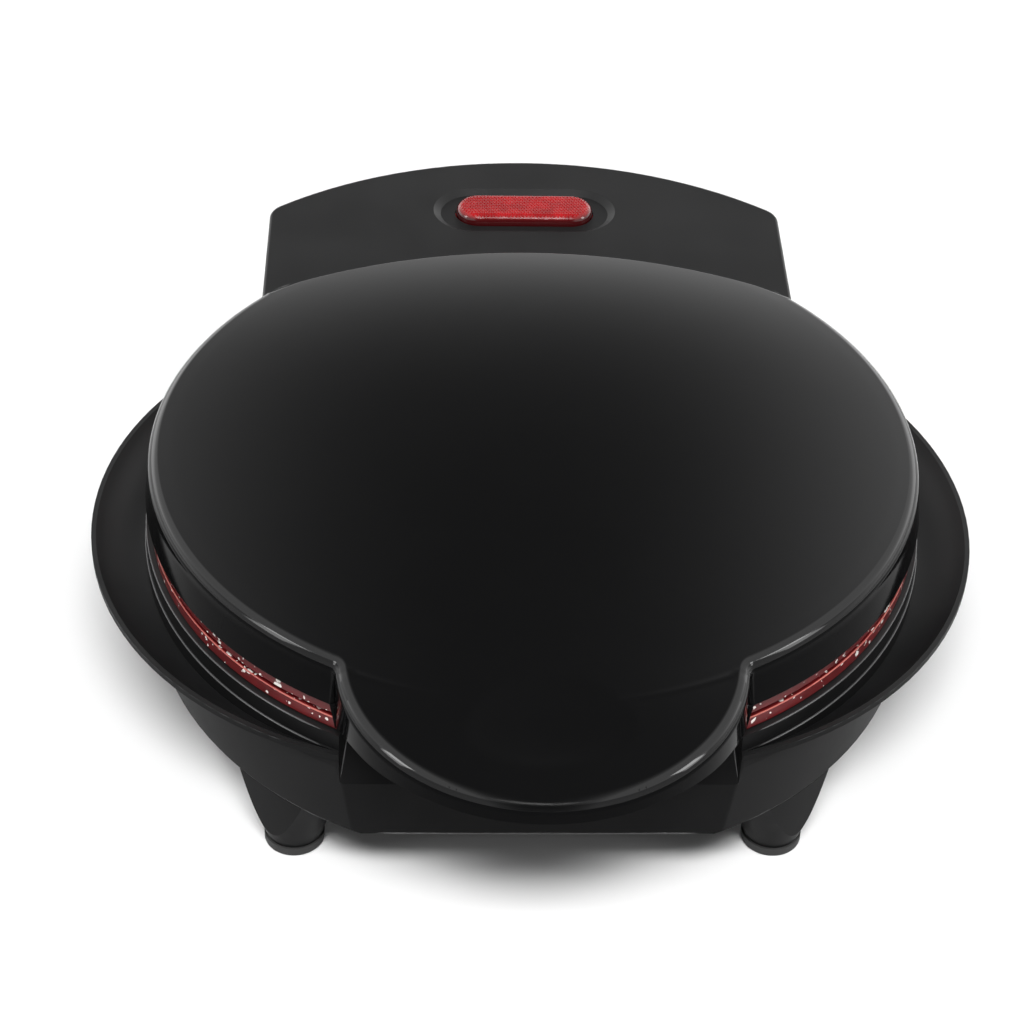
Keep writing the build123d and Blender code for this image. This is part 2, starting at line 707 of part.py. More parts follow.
# ---------------------------------------------------------------- base housing
def scoop(inset):
    """Finger scoop in front of its leaning back wall, grown by inset into the base."""
    lean = (SCOOP_TOP_Y - FRONT_Y) / (RIM_Z - SCOOP_Z)
    shift = inset * sqrt(1 + lean**2)
    low = SCOOP_Z - (shift - inset) / lean
    high = RIM_Z + 5
    with BuildPart() as space:
        with BuildSketch(level(low)):
            Polygon(
                (-SCOOP_X_FRONT - inset, 2 * FRONT_Y),
                (SCOOP_X_FRONT + inset, 2 * FRONT_Y),
                (SCOOP_X_FRONT + inset, FRONT_Y),
                (SCOOP_X_BACK + inset, SCOOP_TOP_Y),
                (SCOOP_X_BACK + inset, 0),
                (-SCOOP_X_BACK - inset, 0),
                (-SCOOP_X_BACK - inset, SCOOP_TOP_Y),
                (-SCOOP_X_FRONT - inset, FRONT_Y),
                align=None,
            )
        extrude(amount=high - low)
        with BuildSketch(SIDE_SECTION):
            Polygon(
                (2 * FRONT_Y, low),
                (FRONT_Y + inset, low),
                (FRONT_Y + shift + lean * (high - SCOOP_Z), high),
                (2 * FRONT_Y, high),
                align=None,
            )
        extrude(amount=2 * SCOOP_X_FRONT, both=True, mode=Mode.INTERSECT)
    return space.part


def drum():
    """Solid drum of the base: rim, ledge and tapering wall, with the flat front face."""
    with BuildPart() as body:
        with BuildSketch(FRONT_SECTION):
            Polygon(
                (0, DRUM_FOOT_Z),
                (DRUM_FOOT_R - 1, DRUM_FOOT_Z),
                (DRUM_FOOT_R, DRUM_FOOT_Z + 1),
                (DRUM_R, DRUM_SHOULDER_Z),
                (DRUM_R, LEDGE_Z),
                (RIM_R, LEDGE_Z),
                (RIM_R, RIM_Z),
                (0, RIM_Z),
                align=None,
            )
        revolve(axis=PAN_AXIS)
        with BuildSketch(level(0)):
            with Locations((0, FRONT_Y - DRUM_R)):
                Rectangle(3 * DRUM_R, 2 * DRUM_R)
        extrude(amount=LID_TOP, mode=Mode.SUBTRACT)
        corners = body.edges().filter_by(
            lambda edge: edge.bounding_box().size.Z > 5
            and abs(edge.center().Y - PAN_Y - FRONT_Y) < 0.5
        )
        fillet(corners, 2.5)
    return body.part


def drum_core():
    """Space inside the drum."""
    with BuildPart() as body:
        with BuildSketch(FRONT_SECTION):
            Polygon(
                (0, DRUM_FOOT_Z - 1),
                (DRUM_FOOT_R - BASE_WALL, DRUM_FOOT_Z - 1),
                (DRUM_R - BASE_WALL, DRUM_SHOULDER_Z),
                (RIM_R - BASE_WALL, RIM_Z + 1),
                (0, RIM_Z + 1),
                align=None,
            )
        revolve(axis=PAN_AXIS)
        with BuildSketch(level(0)):
            with Locations((0, FRONT_Y + BASE_WALL - DRUM_R)):
                Rectangle(3 * DRUM_R, 2 * DRUM_R)
        extrude(amount=LID_TOP, mode=Mode.SUBTRACT)
    return body.part


def wing(side):
    """Side wing: a ring about its own axis whose upper face is dished as a drip trough."""
    trough_z = LEDGE_Z - 5.6
    trough_r = WING_R - 16.6
    root_r = trough_r - 9
    axis_origin = (side * WING_X, PAN_Y + WING_Y, 0)
    with BuildPart() as body:
        with BuildSketch(Plane(origin=axis_origin, x_dir=(1, 0, 0), z_dir=(0, -1, 0))):
            with BuildLine():
                Polyline((WING_R, LEDGE_Z - WING_T), (WING_R, LEDGE_Z), (WING_R - LIP_W, LEDGE_Z))
                ThreePointArc(
                    (WING_R - LIP_W, LEDGE_Z),
                    (WING_R - 6.1, LEDGE_Z - 3.3),
                    (trough_r, trough_z),
                )
                Polyline(
                    (trough_r, trough_z),
                    (root_r, trough_z),
                    (root_r, trough_z - WING_T - 0.2),
                    (trough_r, trough_z - WING_T - 0.2),
                )
                ThreePointArc(
                    (trough_r, trough_z - WING_T - 0.2),
                    (WING_R - 5.7, LEDGE_Z - 5.6),
                    (WING_R, LEDGE_Z - WING_T),
                )
            make_face()
        revolve(axis=Axis(axis_origin, (0, 0, 1)))
    return body.part


def ear_profile(plane):
    """Outline of a hinge ear: round the hinge axis, rooted in the saddle."""
    with BuildSketch(plane) as outline:
        with Locations((HINGE_Y, HINGE_Z)):
            Circle(EAR_R)
        with Locations((SADDLE_Y - 4, SADDLE_TOP - 8)):
            Rectangle(6, 16)
        make_hull()
    return outline.sketch


def rear_plane(y):
    return Plane(origin=(0, PAN_Y + y, 0), x_dir=(-1, 0, 0), z_dir=(0, 1, 0))


def gland_outline(y, grow, foot_z):
    """The gland seen from behind: a flat-sided neck from the housing's lower edge up past the cord."""
    top_z = GLAND_Z + GLAND_HALF_X + grow
    with BuildSketch(rear_plane(y)) as outline:
        with Locations((0, (foot_z + top_z) / 2)):
            Rectangle(2 * (GLAND_HALF_X + grow), top_z - foot_z)
        fillet(outline.vertices().group_by(Axis.Z)[-1], 1.0 + grow)
    return outline.sketch


EAR_XS = [side * (HINGE_X + step) for side in (-1, 1) for step in (-EAR_OFFSET, EAR_OFFSET)]
GLAND_Z = 36.0
GLAND_HALF_X = 5.5
GLAND_LIP = 2.2
CORD_R = 3.3

drum_outer = drum()
core = drum_core()
scoop_outer = scoop(0)
scoop_grown = scoop(BASE_WALL)
wing_left = wing(-1)
wing_right = wing(1)

with BuildPart() as base_core:
    add(core)
    add(scoop_grown, mode=Mode.SUBTRACT)

with BuildPart() as base_housing:
    add(drum_outer)
    add(wing_left)
    add(wing_right)
    with BuildSketch(level(DRUM_FOOT_Z)) as saddle_plan:
        with Locations((0, SADDLE_Y - 12)):
            Rectangle(2 * SADDLE_X, 24)
        fillet(saddle_plan.vertices().group_by(Axis.Y)[-1], 5)
    extrude(amount=SADDLE_TOP - DRUM_FOOT_Z)
    for x in EAR_XS:
        extrude(ear_profile(side_plane(x)), amount=EAR_W / 2, both=True)
    add(scoop_outer, mode=Mode.SUBTRACT)
    add(base_core.part, mode=Mode.SUBTRACT)
    with BuildSketch(level(DRUM_FOOT_Z)) as saddle_hollow:
        with Locations((0, SADDLE_Y - BASE_WALL - 13)):
            Rectangle(2 * (SADDLE_X - BASE_WALL), 26)
        fillet(saddle_hollow.vertices().group_by(Axis.Y)[-1], 3)
    extrude(amount=SADDLE_TOP - BASE_WALL - DRUM_FOOT_Z, mode=Mode.SUBTRACT)
    # Bosses for the bottom cover, joined to the wall.
    with BuildSketch(level(FLOOR_Z + FLOOR_T)):
        for azimuth in COVER_BOSS_AZ:
            with PolarLocations(COVER_BOSS_AT, 1, start_angle=azimuth):
                Circle(COVER_BOSS_R)
        Circle(DRUM_FOOT_R - 1, mode=Mode.INTERSECT)
    extrude(amount=COVER_BOSS_TOP - FLOOR_Z - FLOOR_T)
    with BuildSketch(level(FLOOR_Z + FLOOR_T)):
        for azimuth in COVER_BOSS_AZ:
            with PolarLocations(COVER_BOSS_AT, 1, start_angle=azimuth):
                Circle(1.55)
    extrude(amount=12, mode=Mode.SUBTRACT)
    # Bores for the hinge pins.
    for x in EAR_XS:
        with BuildSketch(side_plane(x)):
            with Locations((HINGE_Y, HINGE_Z)):
                Circle(HINGE_PIN_R + PRESS_FIT)
        extrude(amount=EAR_W, both=True, mode=Mode.SUBTRACT)
    # Slot that the cord gland slides into from below.
    extrude(gland_outline(SADDLE_Y + 1, 0.1, DRUM_FOOT_Z - 1), amount=-8, mode=Mode.SUBTRACT)

base_housing.part.label = "base_housing"
export_step(base_housing.part, "parts/base_housing.step")

with BuildPart() as cord_gland:
    extrude(gland_outline(SADDLE_Y - BASE_WALL, 0, DRUM_FOOT_Z), amount=BASE_WALL)
    extrude(gland_outline(SADDLE_Y, GLAND_LIP, DRUM_FOOT_Z), amount=2)
    extrude(gland_outline(SADDLE_Y - BASE_WALL - 2, GLAND_LIP, FLOOR_Z + FLOOR_T + 0.6), amount=2)
    with BuildSketch(rear_plane(SADDLE_Y + 3)):
        with Locations((0, GLAND_Z)):
            Circle(CORD_R)
    extrude(amount=-20, mode=Mode.SUBTRACT)

cord_gland.part.label = "cord_gland"
export_step(cord_gland.part, "parts/cord_gland.step")

# ---------------------------------------------------------------- hinge pins
for side, word in ((-1, "left"), (1, "right")):
    with BuildPart() as hinge_pin:
        with BuildSketch(side_plane(side * (HINGE_X - EAR_OFFSET - 4))):
            with Locations((HINGE_Y, HINGE_Z)):
                Circle(HINGE_PIN_R)
        extrude(amount=side * (2 * EAR_OFFSET + 8))
        with BuildSketch(side_plane(side * (HINGE_X + EAR_OFFSET + EAR_W / 2))):
            with Locations((HINGE_Y, HINGE_Z)):
                Circle(4.0)
        extrude(amount=side * 1.5)
    hinge_pin.part.label = f"hinge_pin_{word}"
    export_step(hinge_pin.part, f"parts/hinge_pin_{word}.step")

# ---------------------------------------------------------------- bottom cover, legs and feet
LEGS = [
    ("front_left", -LEG_X, -LEG_Y),
    ("front_right", LEG_X, -LEG_Y),
    ("rear_left", -LEG_X, LEG_Y),
    ("rear_right", LEG_X, LEG_Y),
]
COVER_SCREWS = [
    (COVER_BOSS_AT * cos(radians(a)), COVER_BOSS_AT * sin(radians(a))) for a in COVER_BOSS_AZ
]


def leg_bodies(foot_z, foot_r, top_z, top_r, trim_r):
    """Four tapered legs, cut off where they would pass a cylinder about the pan axis."""
    with BuildPart() as legs:
        with Locations(*[(x, PAN_Y + y, foot_z) for _, x, y in LEGS]):
            Cone(foot_r, top_r, top_z - foot_z, align=UPRIGHT)
        with BuildSketch(level(0)):
            Circle(trim_r)
        extrude(amount=top_z, mode=Mode.INTERSECT)
    return legs.part


leg_outer = leg_bodies(PAD_T, LEG_FOOT_R, FLOOR_Z, LEG_TOP_R, LEG_TRIM_R)
leg_inner = leg_bodies(
    PAD_T + PAD_STEM_L + 2, LEG_FOOT_R - 2, FLOOR_Z + FLOOR_T, LEG_TOP_R - LEG_WALL, LEG_TRIM_R - 2.5
)

with BuildPart() as bottom_cover:
    with BuildSketch(level(FLOOR_Z)) as floor_plan:
        Circle(FLOOR_R)
        with Locations((0, FLOOR_FRONT_Y - FLOOR_R)):
            Rectangle(3 * FLOOR_R, 2 * FLOOR_R, mode=Mode.SUBTRACT)
        with Locations((0, SADDLE_Y - BASE_WALL - COVER_GAP - 12)):
            Rectangle(2 * (SADDLE_X - BASE_WALL - COVER_GAP), 24)
        fillet(floor_plan.vertices().group_by(Axis.Y)[-1], 4)
    extrude(amount=FLOOR_T)
    add(leg_outer)
    add(leg_inner, mode=Mode.SUBTRACT)
    with BuildSketch(level(FLOOR_Z)):
        with Locations(*PLATE_SCREWS):
            Circle(POST_SHOULDER_R)
    extrude(amount=POST_SHOULDER_Z - FLOOR_Z)
    with BuildSketch(level(FLOOR_Z)):
        with Locations(*PLATE_SCREWS):
            Circle(POST_R)
    extrude(amount=POST_TOP - FLOOR_Z)
    with BuildSketch(level(FLOOR_Z)):
        with Locations(*PLATE_SCREWS):
            Circle(4.2)
    extrude(amount=POST_SHOULDER_Z - FLOOR_Z - 2, mode=Mode.SUBTRACT)
    with BuildSketch(level(FLOOR_Z)):
        with Locations(*PLATE_SCREWS):
            Circle(2.3)
    extrude(amount=POST_TOP - FLOOR_Z, mode=Mode.SUBTRACT)
    with BuildSketch(level(FLOOR_Z)):
        with Locations(*COVER_SCREWS):
            Circle(1.7)
        with Locations((-46, 0), (46, 0)):
            with GridLocations(0, 10, 1, 6):
                SlotOverall(44, 4)
    extrude(amount=FLOOR_T, mode=Mode.SUBTRACT)
    with BuildSketch(level(FLOOR_Z)):
        with Locations(*COVER_SCREWS):
            Circle(3.5)
    extrude(amount=1.4, mode=Mode.SUBTRACT)
    with BuildSketch(level(PAD_T)):
        with Locations(*[(x, y) for _, x, y in LEGS]):
            Circle(PAD_STEM_R + 0.1)
    extrude(amount=PAD_STEM_L, mode=Mode.SUBTRACT)

bottom_cover.part.label = "bottom_cover"
export_step(bottom_cover.part, "parts/bottom_cover.step")

for word, x, y in LEGS:
    with BuildPart() as foot_pad:
        with BuildSketch(level(0)):
            with Locations((x, y)):
                Circle(PAD_R)
        extrude(amount=PAD_T)
        fillet(foot_pad.edges().sort_by(Axis.Z)[0], 0.8)
        with BuildSketch(level(PAD_T)):
            with Locations((x, y)):
                Circle(PAD_STEM_R)
        extrude(amount=PAD_STEM_L - 0.2)
    foot_pad.part.label = f"foot_pad_{word}"
    export_step(foot_pad.part, f"parts/foot_pad_{word}.step")

with BuildPart() as bottom_cover_screws:
    with Locations(*[(x, PAN_Y + y, FLOOR_Z) for x, y in COVER_SCREWS]):
        Cylinder(3.2, 1.4, align=UPRIGHT)
        Cylinder(1.5, 13, align=UPRIGHT)

bottom_cover_screws.part.label = "bottom_cover_screws"
export_step(bottom_cover_screws.part, "parts/bottom_cover_screws.step")

with BuildPart() as lower_plate_screws:
    with Locations(*[(x, PAN_Y + y, POST_SHOULDER_Z - 5) for x, y in PLATE_SCREWS]):
        Cylinder(3.8, 3, align=UPRIGHT)
        Cylinder(2.0, 28, align=UPRIGHT)

lower_plate_screws.part.label = "lower_plate_screws"
export_step(lower_plate_screws.part, "parts/lower_plate_screws.step")

# ---------------------------------------------------------------- controls inside the base
WELL_BACK = LOWER_FACE - LOWER_DEPTH - PLATE_T

with BuildPart() as thermostat:
    with BuildSketch(level(WELL_BACK - 2)):
        with Locations((-30, 0)):
            Circle(8.5)
    extrude(amount=2)
    with BuildSketch(level(WELL_BACK - 8)):
        with Locations((-30, 0)):
            Circle(6.5)
    extrude(amount=6)
    with BuildSketch(level(WELL_BACK - 10.5)):
        with Locations((-33.5, 0), (-26.5, 0)):
            Rectangle(0.8, 5)
    extrude(amount=3)

thermostat.part.label = "thermostat"
export_step(thermostat.part, "parts/thermostat.step")

with BuildPart() as thermal_fuse:
    with BuildSketch(Plane(origin=(30, PAN_Y - 11, WELL_BACK - 3.4), z_dir=(0, 1, 0))):
        Circle(2.6)
    extrude(amount=22)
    with BuildSketch(level(WELL_BACK - 0.8)):
        with Locations((30, 0)):
            Rectangle(14, 8)
    extrude(amount=0.8)
    with BuildSketch(level(WELL_BACK - 3.4)):
        with Locations((30, 0)):
            Rectangle(7.2, 8)
    extrude(amount=3)

thermal_fuse.part.label = "thermal_fuse"
export_step(thermal_fuse.part, "parts/thermal_fuse.step")

with BuildPart() as terminal_block:
    with BuildSketch(level(FLOOR_Z + FLOOR_T)):
        with Locations((0, 100)):
            Rectangle(40, 12)
    extrude(amount=12)
    with BuildSketch(Plane(origin=(0, PAN_Y + 90, FLOOR_Z + FLOOR_T + 5), x_dir=(1, 0, 0), z_dir=(0, 1, 0))):
        with GridLocations(12, 0, 3, 1):
            Circle(2.2)
    extrude(amount=20, mode=Mode.SUBTRACT)
    with BuildSketch(level(FLOOR_Z + FLOOR_T + 8)):
        with Locations((-12, 100), (0, 100), (12, 100)):
            Circle(2.4)
    extrude(amount=8, mode=Mode.SUBTRACT)

terminal_block.part.label = "terminal_block"
export_step(terminal_block.part, "parts/terminal_block.step")
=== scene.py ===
import json
import math

import bmesh
import bpy
from mathutils import Matrix, Vector
from mathutils.bvhtree import BVHTree
from mathutils.geometry import delaunay_2d_cdt

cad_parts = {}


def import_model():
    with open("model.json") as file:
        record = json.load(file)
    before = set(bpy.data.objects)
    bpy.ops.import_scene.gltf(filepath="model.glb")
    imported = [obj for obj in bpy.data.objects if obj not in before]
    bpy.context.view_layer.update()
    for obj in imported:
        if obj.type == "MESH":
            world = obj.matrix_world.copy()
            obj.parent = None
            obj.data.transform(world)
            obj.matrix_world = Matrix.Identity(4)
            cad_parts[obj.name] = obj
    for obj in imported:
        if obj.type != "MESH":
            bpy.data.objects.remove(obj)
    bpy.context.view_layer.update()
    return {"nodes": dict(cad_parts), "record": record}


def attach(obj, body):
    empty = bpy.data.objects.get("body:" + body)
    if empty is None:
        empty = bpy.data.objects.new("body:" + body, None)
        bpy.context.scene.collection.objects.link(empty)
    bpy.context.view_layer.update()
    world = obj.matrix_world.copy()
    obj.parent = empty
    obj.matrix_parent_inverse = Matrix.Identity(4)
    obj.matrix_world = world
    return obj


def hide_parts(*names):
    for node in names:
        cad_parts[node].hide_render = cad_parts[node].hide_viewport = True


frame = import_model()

NODES = frame["nodes"]

# ---------------------------------------------------------------- sizes
# In millimetres. Plan sizes are measured from the pan's own axis, which stands at PAN_Y in the
# frame, and heights from the worktop.
PAN_Y = -7.2

# The lid: crown, rolled edge and skirt.
LID_R = 112.0
LID_TOP = 95.0
CROWN_R = 652.0
CROWN_END_R = 104.0
LID_EDGE = 3.8
SKIRT_FLARE = 1.3
SKIRT_Z = 71.5
SKIRT_REACH = 0.4  # how far outside LID_R the outline still counts as the skirt's

# The tongue handle, the corners beside it and the lip that rises under its tip.
TONGUE_R = 55.5
TONGUE_Y = -91.3
TONGUE_TIP_Z = 82.0
TONGUE_FOOT_Z = 62.8
TONGUE_CORNER = 2.5
TONGUE_REACH = TONGUE_R - TONGUE_Y
OVERRUN = 4.0  # how far past the tip the slope's curve is drawn
LIP_REAR_Y = -98.0
LIP_REAR_SLOPE = 0.95
LIP_BEND_Y = -119.0
LIP_BEND_Z = 73.0
LIP_SLOPE = 0.135
LIP_TIP_Y = -139.0
LIP_RUN = LIP_REAR_Y - LIP_BEND_Y

# The thumb hollow in the tongue, and the crease where dome and tongue meet.
THUMB_Y = -128.0
THUMB_DEPTH = 1.0
THUMB_HALF_X = 24.5
THUMB_HALF_Y = 12.5
THUMB_REAR_Y = THUMB_Y + 3 * THUMB_HALF_Y
THUMB_BLEND = 0.25
CREASE_R = 112.6
CREASE_WIDTH = 0.9
CREASE_DEPTH = 0.1

# The curved step behind the dome.
STEP_Y = -89.8
STEP_R = 185.0
STEP_EDGE = 1.0
STEP_LEAD = 1.0
STEP_BLEND = 6.0
BLOCK_TOP = 81.0

# The gloss shell's mesh.
EDGE_RINGS = 12
WALL_RINGS = 5
TONGUE_PITCH = 0.7
CORNER_PITCH = 0.2
DOME_PITCH = 0.9
SEAT_PASSES = 4
NORMAL_STEP = 0.05
FIELD_STEP = 2.0
FIELD_REACH = 160.0
FIELD_INSET = 1.2
CREASE_RINGS = 4
CREASE_PITCH = 0.6  # of CREASE_WIDTH
CREASE_TURNS = 160
SHELL_FIT = 0.00025  # metres between a face of the solid and the shell that stands for it
SHELL_TURN = 0.6  # least agreement of their normals

# The indicator lens and its dotted relief.
LENS_Y = 131.0
LENS_LONG = 45.0
LENS_WIDE = 15.0
LENS_TOP = 82.8
LENS_EDGE = 2.6
LENS_SKIN = 0.05
RELIEF_STEP = 0.19
RELIEF_MARGIN = 0.7
RELIEF_LEAST = 0.65  # least distance of the relief from the lens's edge
DOT_PITCH = 1.15
DOT_ROW = 0.866 * DOT_PITCH
DOT_R = 0.46 * DOT_PITCH
DOT_RISE = 0.22
DOT_CLEAR = 0.9  # dots start to rise this far from the edge

# Edges of the base that carry a thin bead, and the beads on them.
RIM_R = 113.6
RIM_Z = 61.4
LEDGE_R = 114.1
LEDGE_Z = 56.0
FRONT_Y = -100.2
SCOOP_Z = 44.0
SCOOP_TOP_Y = -93.0
SCOOP_X_FRONT = 54.3
SCOOP_X_BACK = 51.5
FOOT_R = 112.4
FOOT_Z = 25.2
WING_X = 21.7
WING_Y = 2.0
WING_R = 108.6
PLATE_R = 112.1
PLATE_Z = 66.0
RIM_BEAD_R, RIM_INSET = 0.32, 0.1
WING_BEAD_R, WING_INSET = 0.27, 0.28
FOOT_BEAD_R, FOOT_INSET, FOOT_LIFT = 0.3, 0.62, 0.5
FRONT_BEAD_R, FRONT_INSET, FRONT_LIFT, FRONT_HALF = 0.28, 0.15, 0.2, 48.0
SCOOP_BEAD_R, SCOOP_INSET = 0.26, 0.1
PLATE_BEAD_R, PLATE_INSET = 0.24, 0.12
RIM_FRONT, RIM_REAR = math.radians(-59.5), math.radians(50)
WING_FRONT, WING_REAR = math.radians(-68), math.radians(62)
FOOT_FRONT = math.radians(-61)
BEAD_SIDES = 8
BEAD_STEP = 1.5
BEAD_TIP = 0.15  # share of its radius that a bead keeps at its ends
BEAD_TAPER = 6  # points over which it tapers

# Cross recesses, in shares of the screw head's radius, and their levels: (size, height).
RECESS_ARM = 0.62
RECESS_HALF = 0.15
RECESS_LEVELS = ((1.0, 0.2), (1.0, -0.02), (0.86, -0.05))
SCREW_GAP = 9.0  # points of one screw lie closer together than this in plan
HEAD_RIM = 0.02

# ---------------------------------------------------------------- sheen of the black mouldings, and painted shade on their steep faces
# Specular levels. Steep faces get less, as in the photo, which is painted shade that darkens them,
# and each level is a material of its own.
SATIN_SHEEN = 0.46
SATIN_BLOCK_SHEEN = 0.30
SATIN_SHADED_SIDE_SHEEN = 0.05
GLOSS_SHEEN = 0.5
GLOSS_SHADED_EDGE_SHEEN = 0.22
GLOSS_SHADED_SIDE_SHEEN = 0.02
# A face is a side, or the shell's edge, and takes the painted shade, when its normal rises less than
# this.
SATIN_SHADED_SIDE_RISE = 0.55
GLOSS_SHADED_EDGE_RISE = 0.72
GLOSS_SHADED_SIDE_RISE = 0.38

# ---------------------------------------------------------------- light and camera
HORIZON_Z = 0.28
HORIZON_FADE = 0.09
HORIZON_LEVEL = 1.15
REAR_FADE = (-0.25, 0.35)
FRONT_SHARE = 0.12  # of the horizon's level, in front of the object
FLANK_LEVEL = 15.5
CEILING_LEVEL = 0.07
SKY_LEVEL = 0.04
KEY_LEVEL = 50.0
KEY_TILT = math.radians(32.0)  # from overhead towards the front
KEY_SLIM = (0.05, 0.12)
KEY_BROAD = (0.12, 0.32)
SOFTBOX_PLACE = (2.75, -0.7, 1.6)
SOFTBOX_AIM = (0.0, 0.0, 0.05)
SOFTBOX_SIZE = (0.7, 1.3)
SOFTBOX_WATTS = 20
FLOOR_HALF = 6.0
FLOOR_GLOW = 0.03
CAMERA_TILT, CAMERA_YAW, CAMERA_ROLL = (math.radians(angle) for angle in (37.22, 2.56, 1.89))
CAMERA_AIM_Z = 0.086
CAMERA_DISTANCE = 0.8
CAMERA_LENS = 96.55
CAMERA_SENSOR = 36.0
CAMERA_SHIFT = (-0.02201, -0.07231)
CAMERA_CLIP = (0.02, 50.0)


# ---------------------------------------------------------------- node helpers
class Tree:
    """A small writer of nodes into one tree."""

    def __init__(self, tree):
        self.nodes = tree.nodes
        self.links = tree.links
        self.coord = self.nodes.new("ShaderNodeTexCoord")

    def put(self, socket, value):
        if isinstance(value, bpy.types.NodeSocket):
            self.links.new(value, socket)
        else:
            socket.default_value = value

    def math(self, kind, a, b=0.0, c=0.0):
        node = self.nodes.new("ShaderNodeMath")
        node.operation = kind
        for socket, value in zip(node.inputs, (a, b, c)):
            self.put(socket, value)
        return node.outputs[0]

    def span(self, value, low, high, to_low=0.0, to_high=1.0):
        """A smooth step from to_low to to_high while the value goes from low to high."""
        node = self.nodes.new("ShaderNodeMapRange")
        node.interpolation_type = "SMOOTHSTEP"
        for socket, number in zip(node.inputs, (value, low, high, to_low, to_high)):
            self.put(socket, number)
        return node.outputs[0]

    def split(self, source):
        """The x, y and z of one of the texture coordinates."""
        node = self.nodes.new("ShaderNodeSeparateXYZ")
        self.links.new(self.coord.outputs[source], node.inputs[0])
        return node.outputs

    def off_camera(self):
        """Two ray switches: the camera's own, and mirrored or refracted."""
        path = self.nodes.new("ShaderNodeLightPath").outputs
        return path["Is Camera Ray"], self.math("MAXIMUM", path["Is Glossy Ray"],
                                                path["Is Transmission Ray"])


class Shade(Tree):
    """The node tree of one material."""

    def __init__(self, name):
        self.mat = bpy.data.materials.new(name)
        self.mat.use_nodes = True
        super().__init__(self.mat.node_tree)
        self.bsdf = self.nodes["Principled BSDF"]

    def set(self, **values):
        for name, value in values.items():
            self.put(self.bsdf.inputs[name.replace("_", " ")], value)

    def space(self, scale):
        node = self.nodes.new("ShaderNodeMapping")
        node.inputs["Scale"].default_value = scale
        self.links.new(self.coord.outputs["Object"], node.inputs["Vector"])
        return node.outputs[0]

    def noise(self, scale, detail, rough, at=None, out="Fac"):
        node = self.nodes.new("ShaderNodeTexNoise")
        self.links.new(at or self.coord.outputs["Object"], node.inputs["Vector"])
        node.inputs["Scale"].default_value = scale
        node.inputs["Detail"].default_value = detail
        node.inputs["Roughness"].default_value = rough
        return node.outputs[out]

    def cells(self, scale, at, out="Distance"):
        node = self.nodes.new("ShaderNodeTexVoronoi")
        self.links.new(at, node.inputs["Vector"])
        node.inputs["Scale"].default_value = scale
        return node.outputs[out]

    def vector(self, kind, a, b):
        node = self.nodes.new("ShaderNodeVectorMath")
        node.operation = kind
        self.put(node.inputs[0], a)
        self.put(node.inputs[1], b)
        return node.outputs[0]

    def mix(self, factor, a, b):
        node = self.nodes.new("ShaderNodeMix")
        node.data_type = "RGBA"
        self.put(node.inputs[0], factor)
        self.put(node.inputs[6], a)
        self.put(node.inputs[7], b)
        return node.outputs[2]

    def bump(self, height, strength, distance):
        node = self.nodes.new("ShaderNodeBump")
        self.put(node.inputs["Height"], height)
        node.inputs["Strength"].default_value = strength
        node.inputs["Distance"].default_value = distance
        return node.outputs[0]


def rgb(r, g, b):
    return (r, g, b, 1.0)


# ---------------------------------------------------------------- materials
def satin_black(name, sheen):
    """Moulded phenolic: a fine spark-eroded grain and a faint unevenness in its sheen."""
    s = Shade(name)
    grain = s.noise(2600, 2.0, 0.6)
    cloud = s.noise(38, 4.0, 0.6)
    dark, light = rgb(0.006, 0.006, 0.0062), rgb(0.008, 0.008, 0.0082)
    s.set(Base_Color=s.mix(s.span(cloud, 0.3, 0.7), dark, light),
          Roughness=s.span(cloud, 0.25, 0.75, 0.40, 0.47),
          Normal=s.bump(grain, 0.22, 0.00006),
          IOR=1.5, Specular_IOR_Level=sheen)
    return s.mat


def gloss_black(name, sheen):
    """Polished moulding with a slow unevenness of flow and light marks of handling."""
    s = Shade(name)
    cloud = s.noise(30, 4.0, 0.6)
    handled = s.noise(55, 5.0, 0.65)
    flow = s.noise(90, 2.0, 0.5)
    dark, light = rgb(0.0033, 0.0033, 0.0035), rgb(0.0037, 0.0037, 0.0039)
    s.set(Base_Color=s.mix(s.span(cloud, 0.3, 0.7), dark, light),
          Roughness=s.span(handled, 0.3, 0.8, 0.07, 0.10),
          Normal=s.bump(flow, 0.05, 0.0001),
          IOR=1.5, Specular_IOR_Level=sheen)
    return s.mat


def speckled_red():
    """Dark red non-stick coating with irregular white flecks of several sizes."""
    s = Shade("speckled_red")
    bend = s.noise(420, 3.0, 0.6, out="Color")
    wobble = s.vector("MULTIPLY", s.vector("SUBTRACT", bend, (0.5, 0.5, 0.5)),
                      (0.0022, 0.0022, 0.0022))
    place = s.vector("ADD", s.coord.outputs["Object"], wobble)
    flecks = None
    for scale, share, size in ((170, 0.52, 0.36), (290, 0.56, 0.34), (560, 0.62, 0.36)):
        near = s.cells(scale, place)
        pick = s.nodes.new("ShaderNodeSeparateColor")
        s.links.new(s.cells(scale, place, out="Color"), pick.inputs[0])
        chosen = s.math("GREATER_THAN", pick.outputs[0], share)
        grown = s.math("MULTIPLY_ADD", pick.outputs[1], size * 0.75, size * 0.25)
        spot = s.math("MULTIPLY", s.span(s.math("SUBTRACT", grown, near), 0.0, 0.03), chosen)
        flecks = spot if flecks is None else s.math("MAXIMUM", flecks, spot)
    cloud = s.noise(160, 4.0, 0.6)
    red = s.mix(s.span(cloud, 0.3, 0.7), rgb(0.085, 0.004, 0.005), rgb(0.12, 0.006, 0.008))
    s.set(Base_Color=s.mix(flecks, red, rgb(0.78, 0.74, 0.70)),
          Roughness=s.span(flecks, 0.0, 1.0, 0.34, 0.5),
          Normal=s.bump(s.noise(1500, 2.0, 0.5), 0.15, 0.00008),
          Specular_IOR_Level=0.3)
    return s.mat


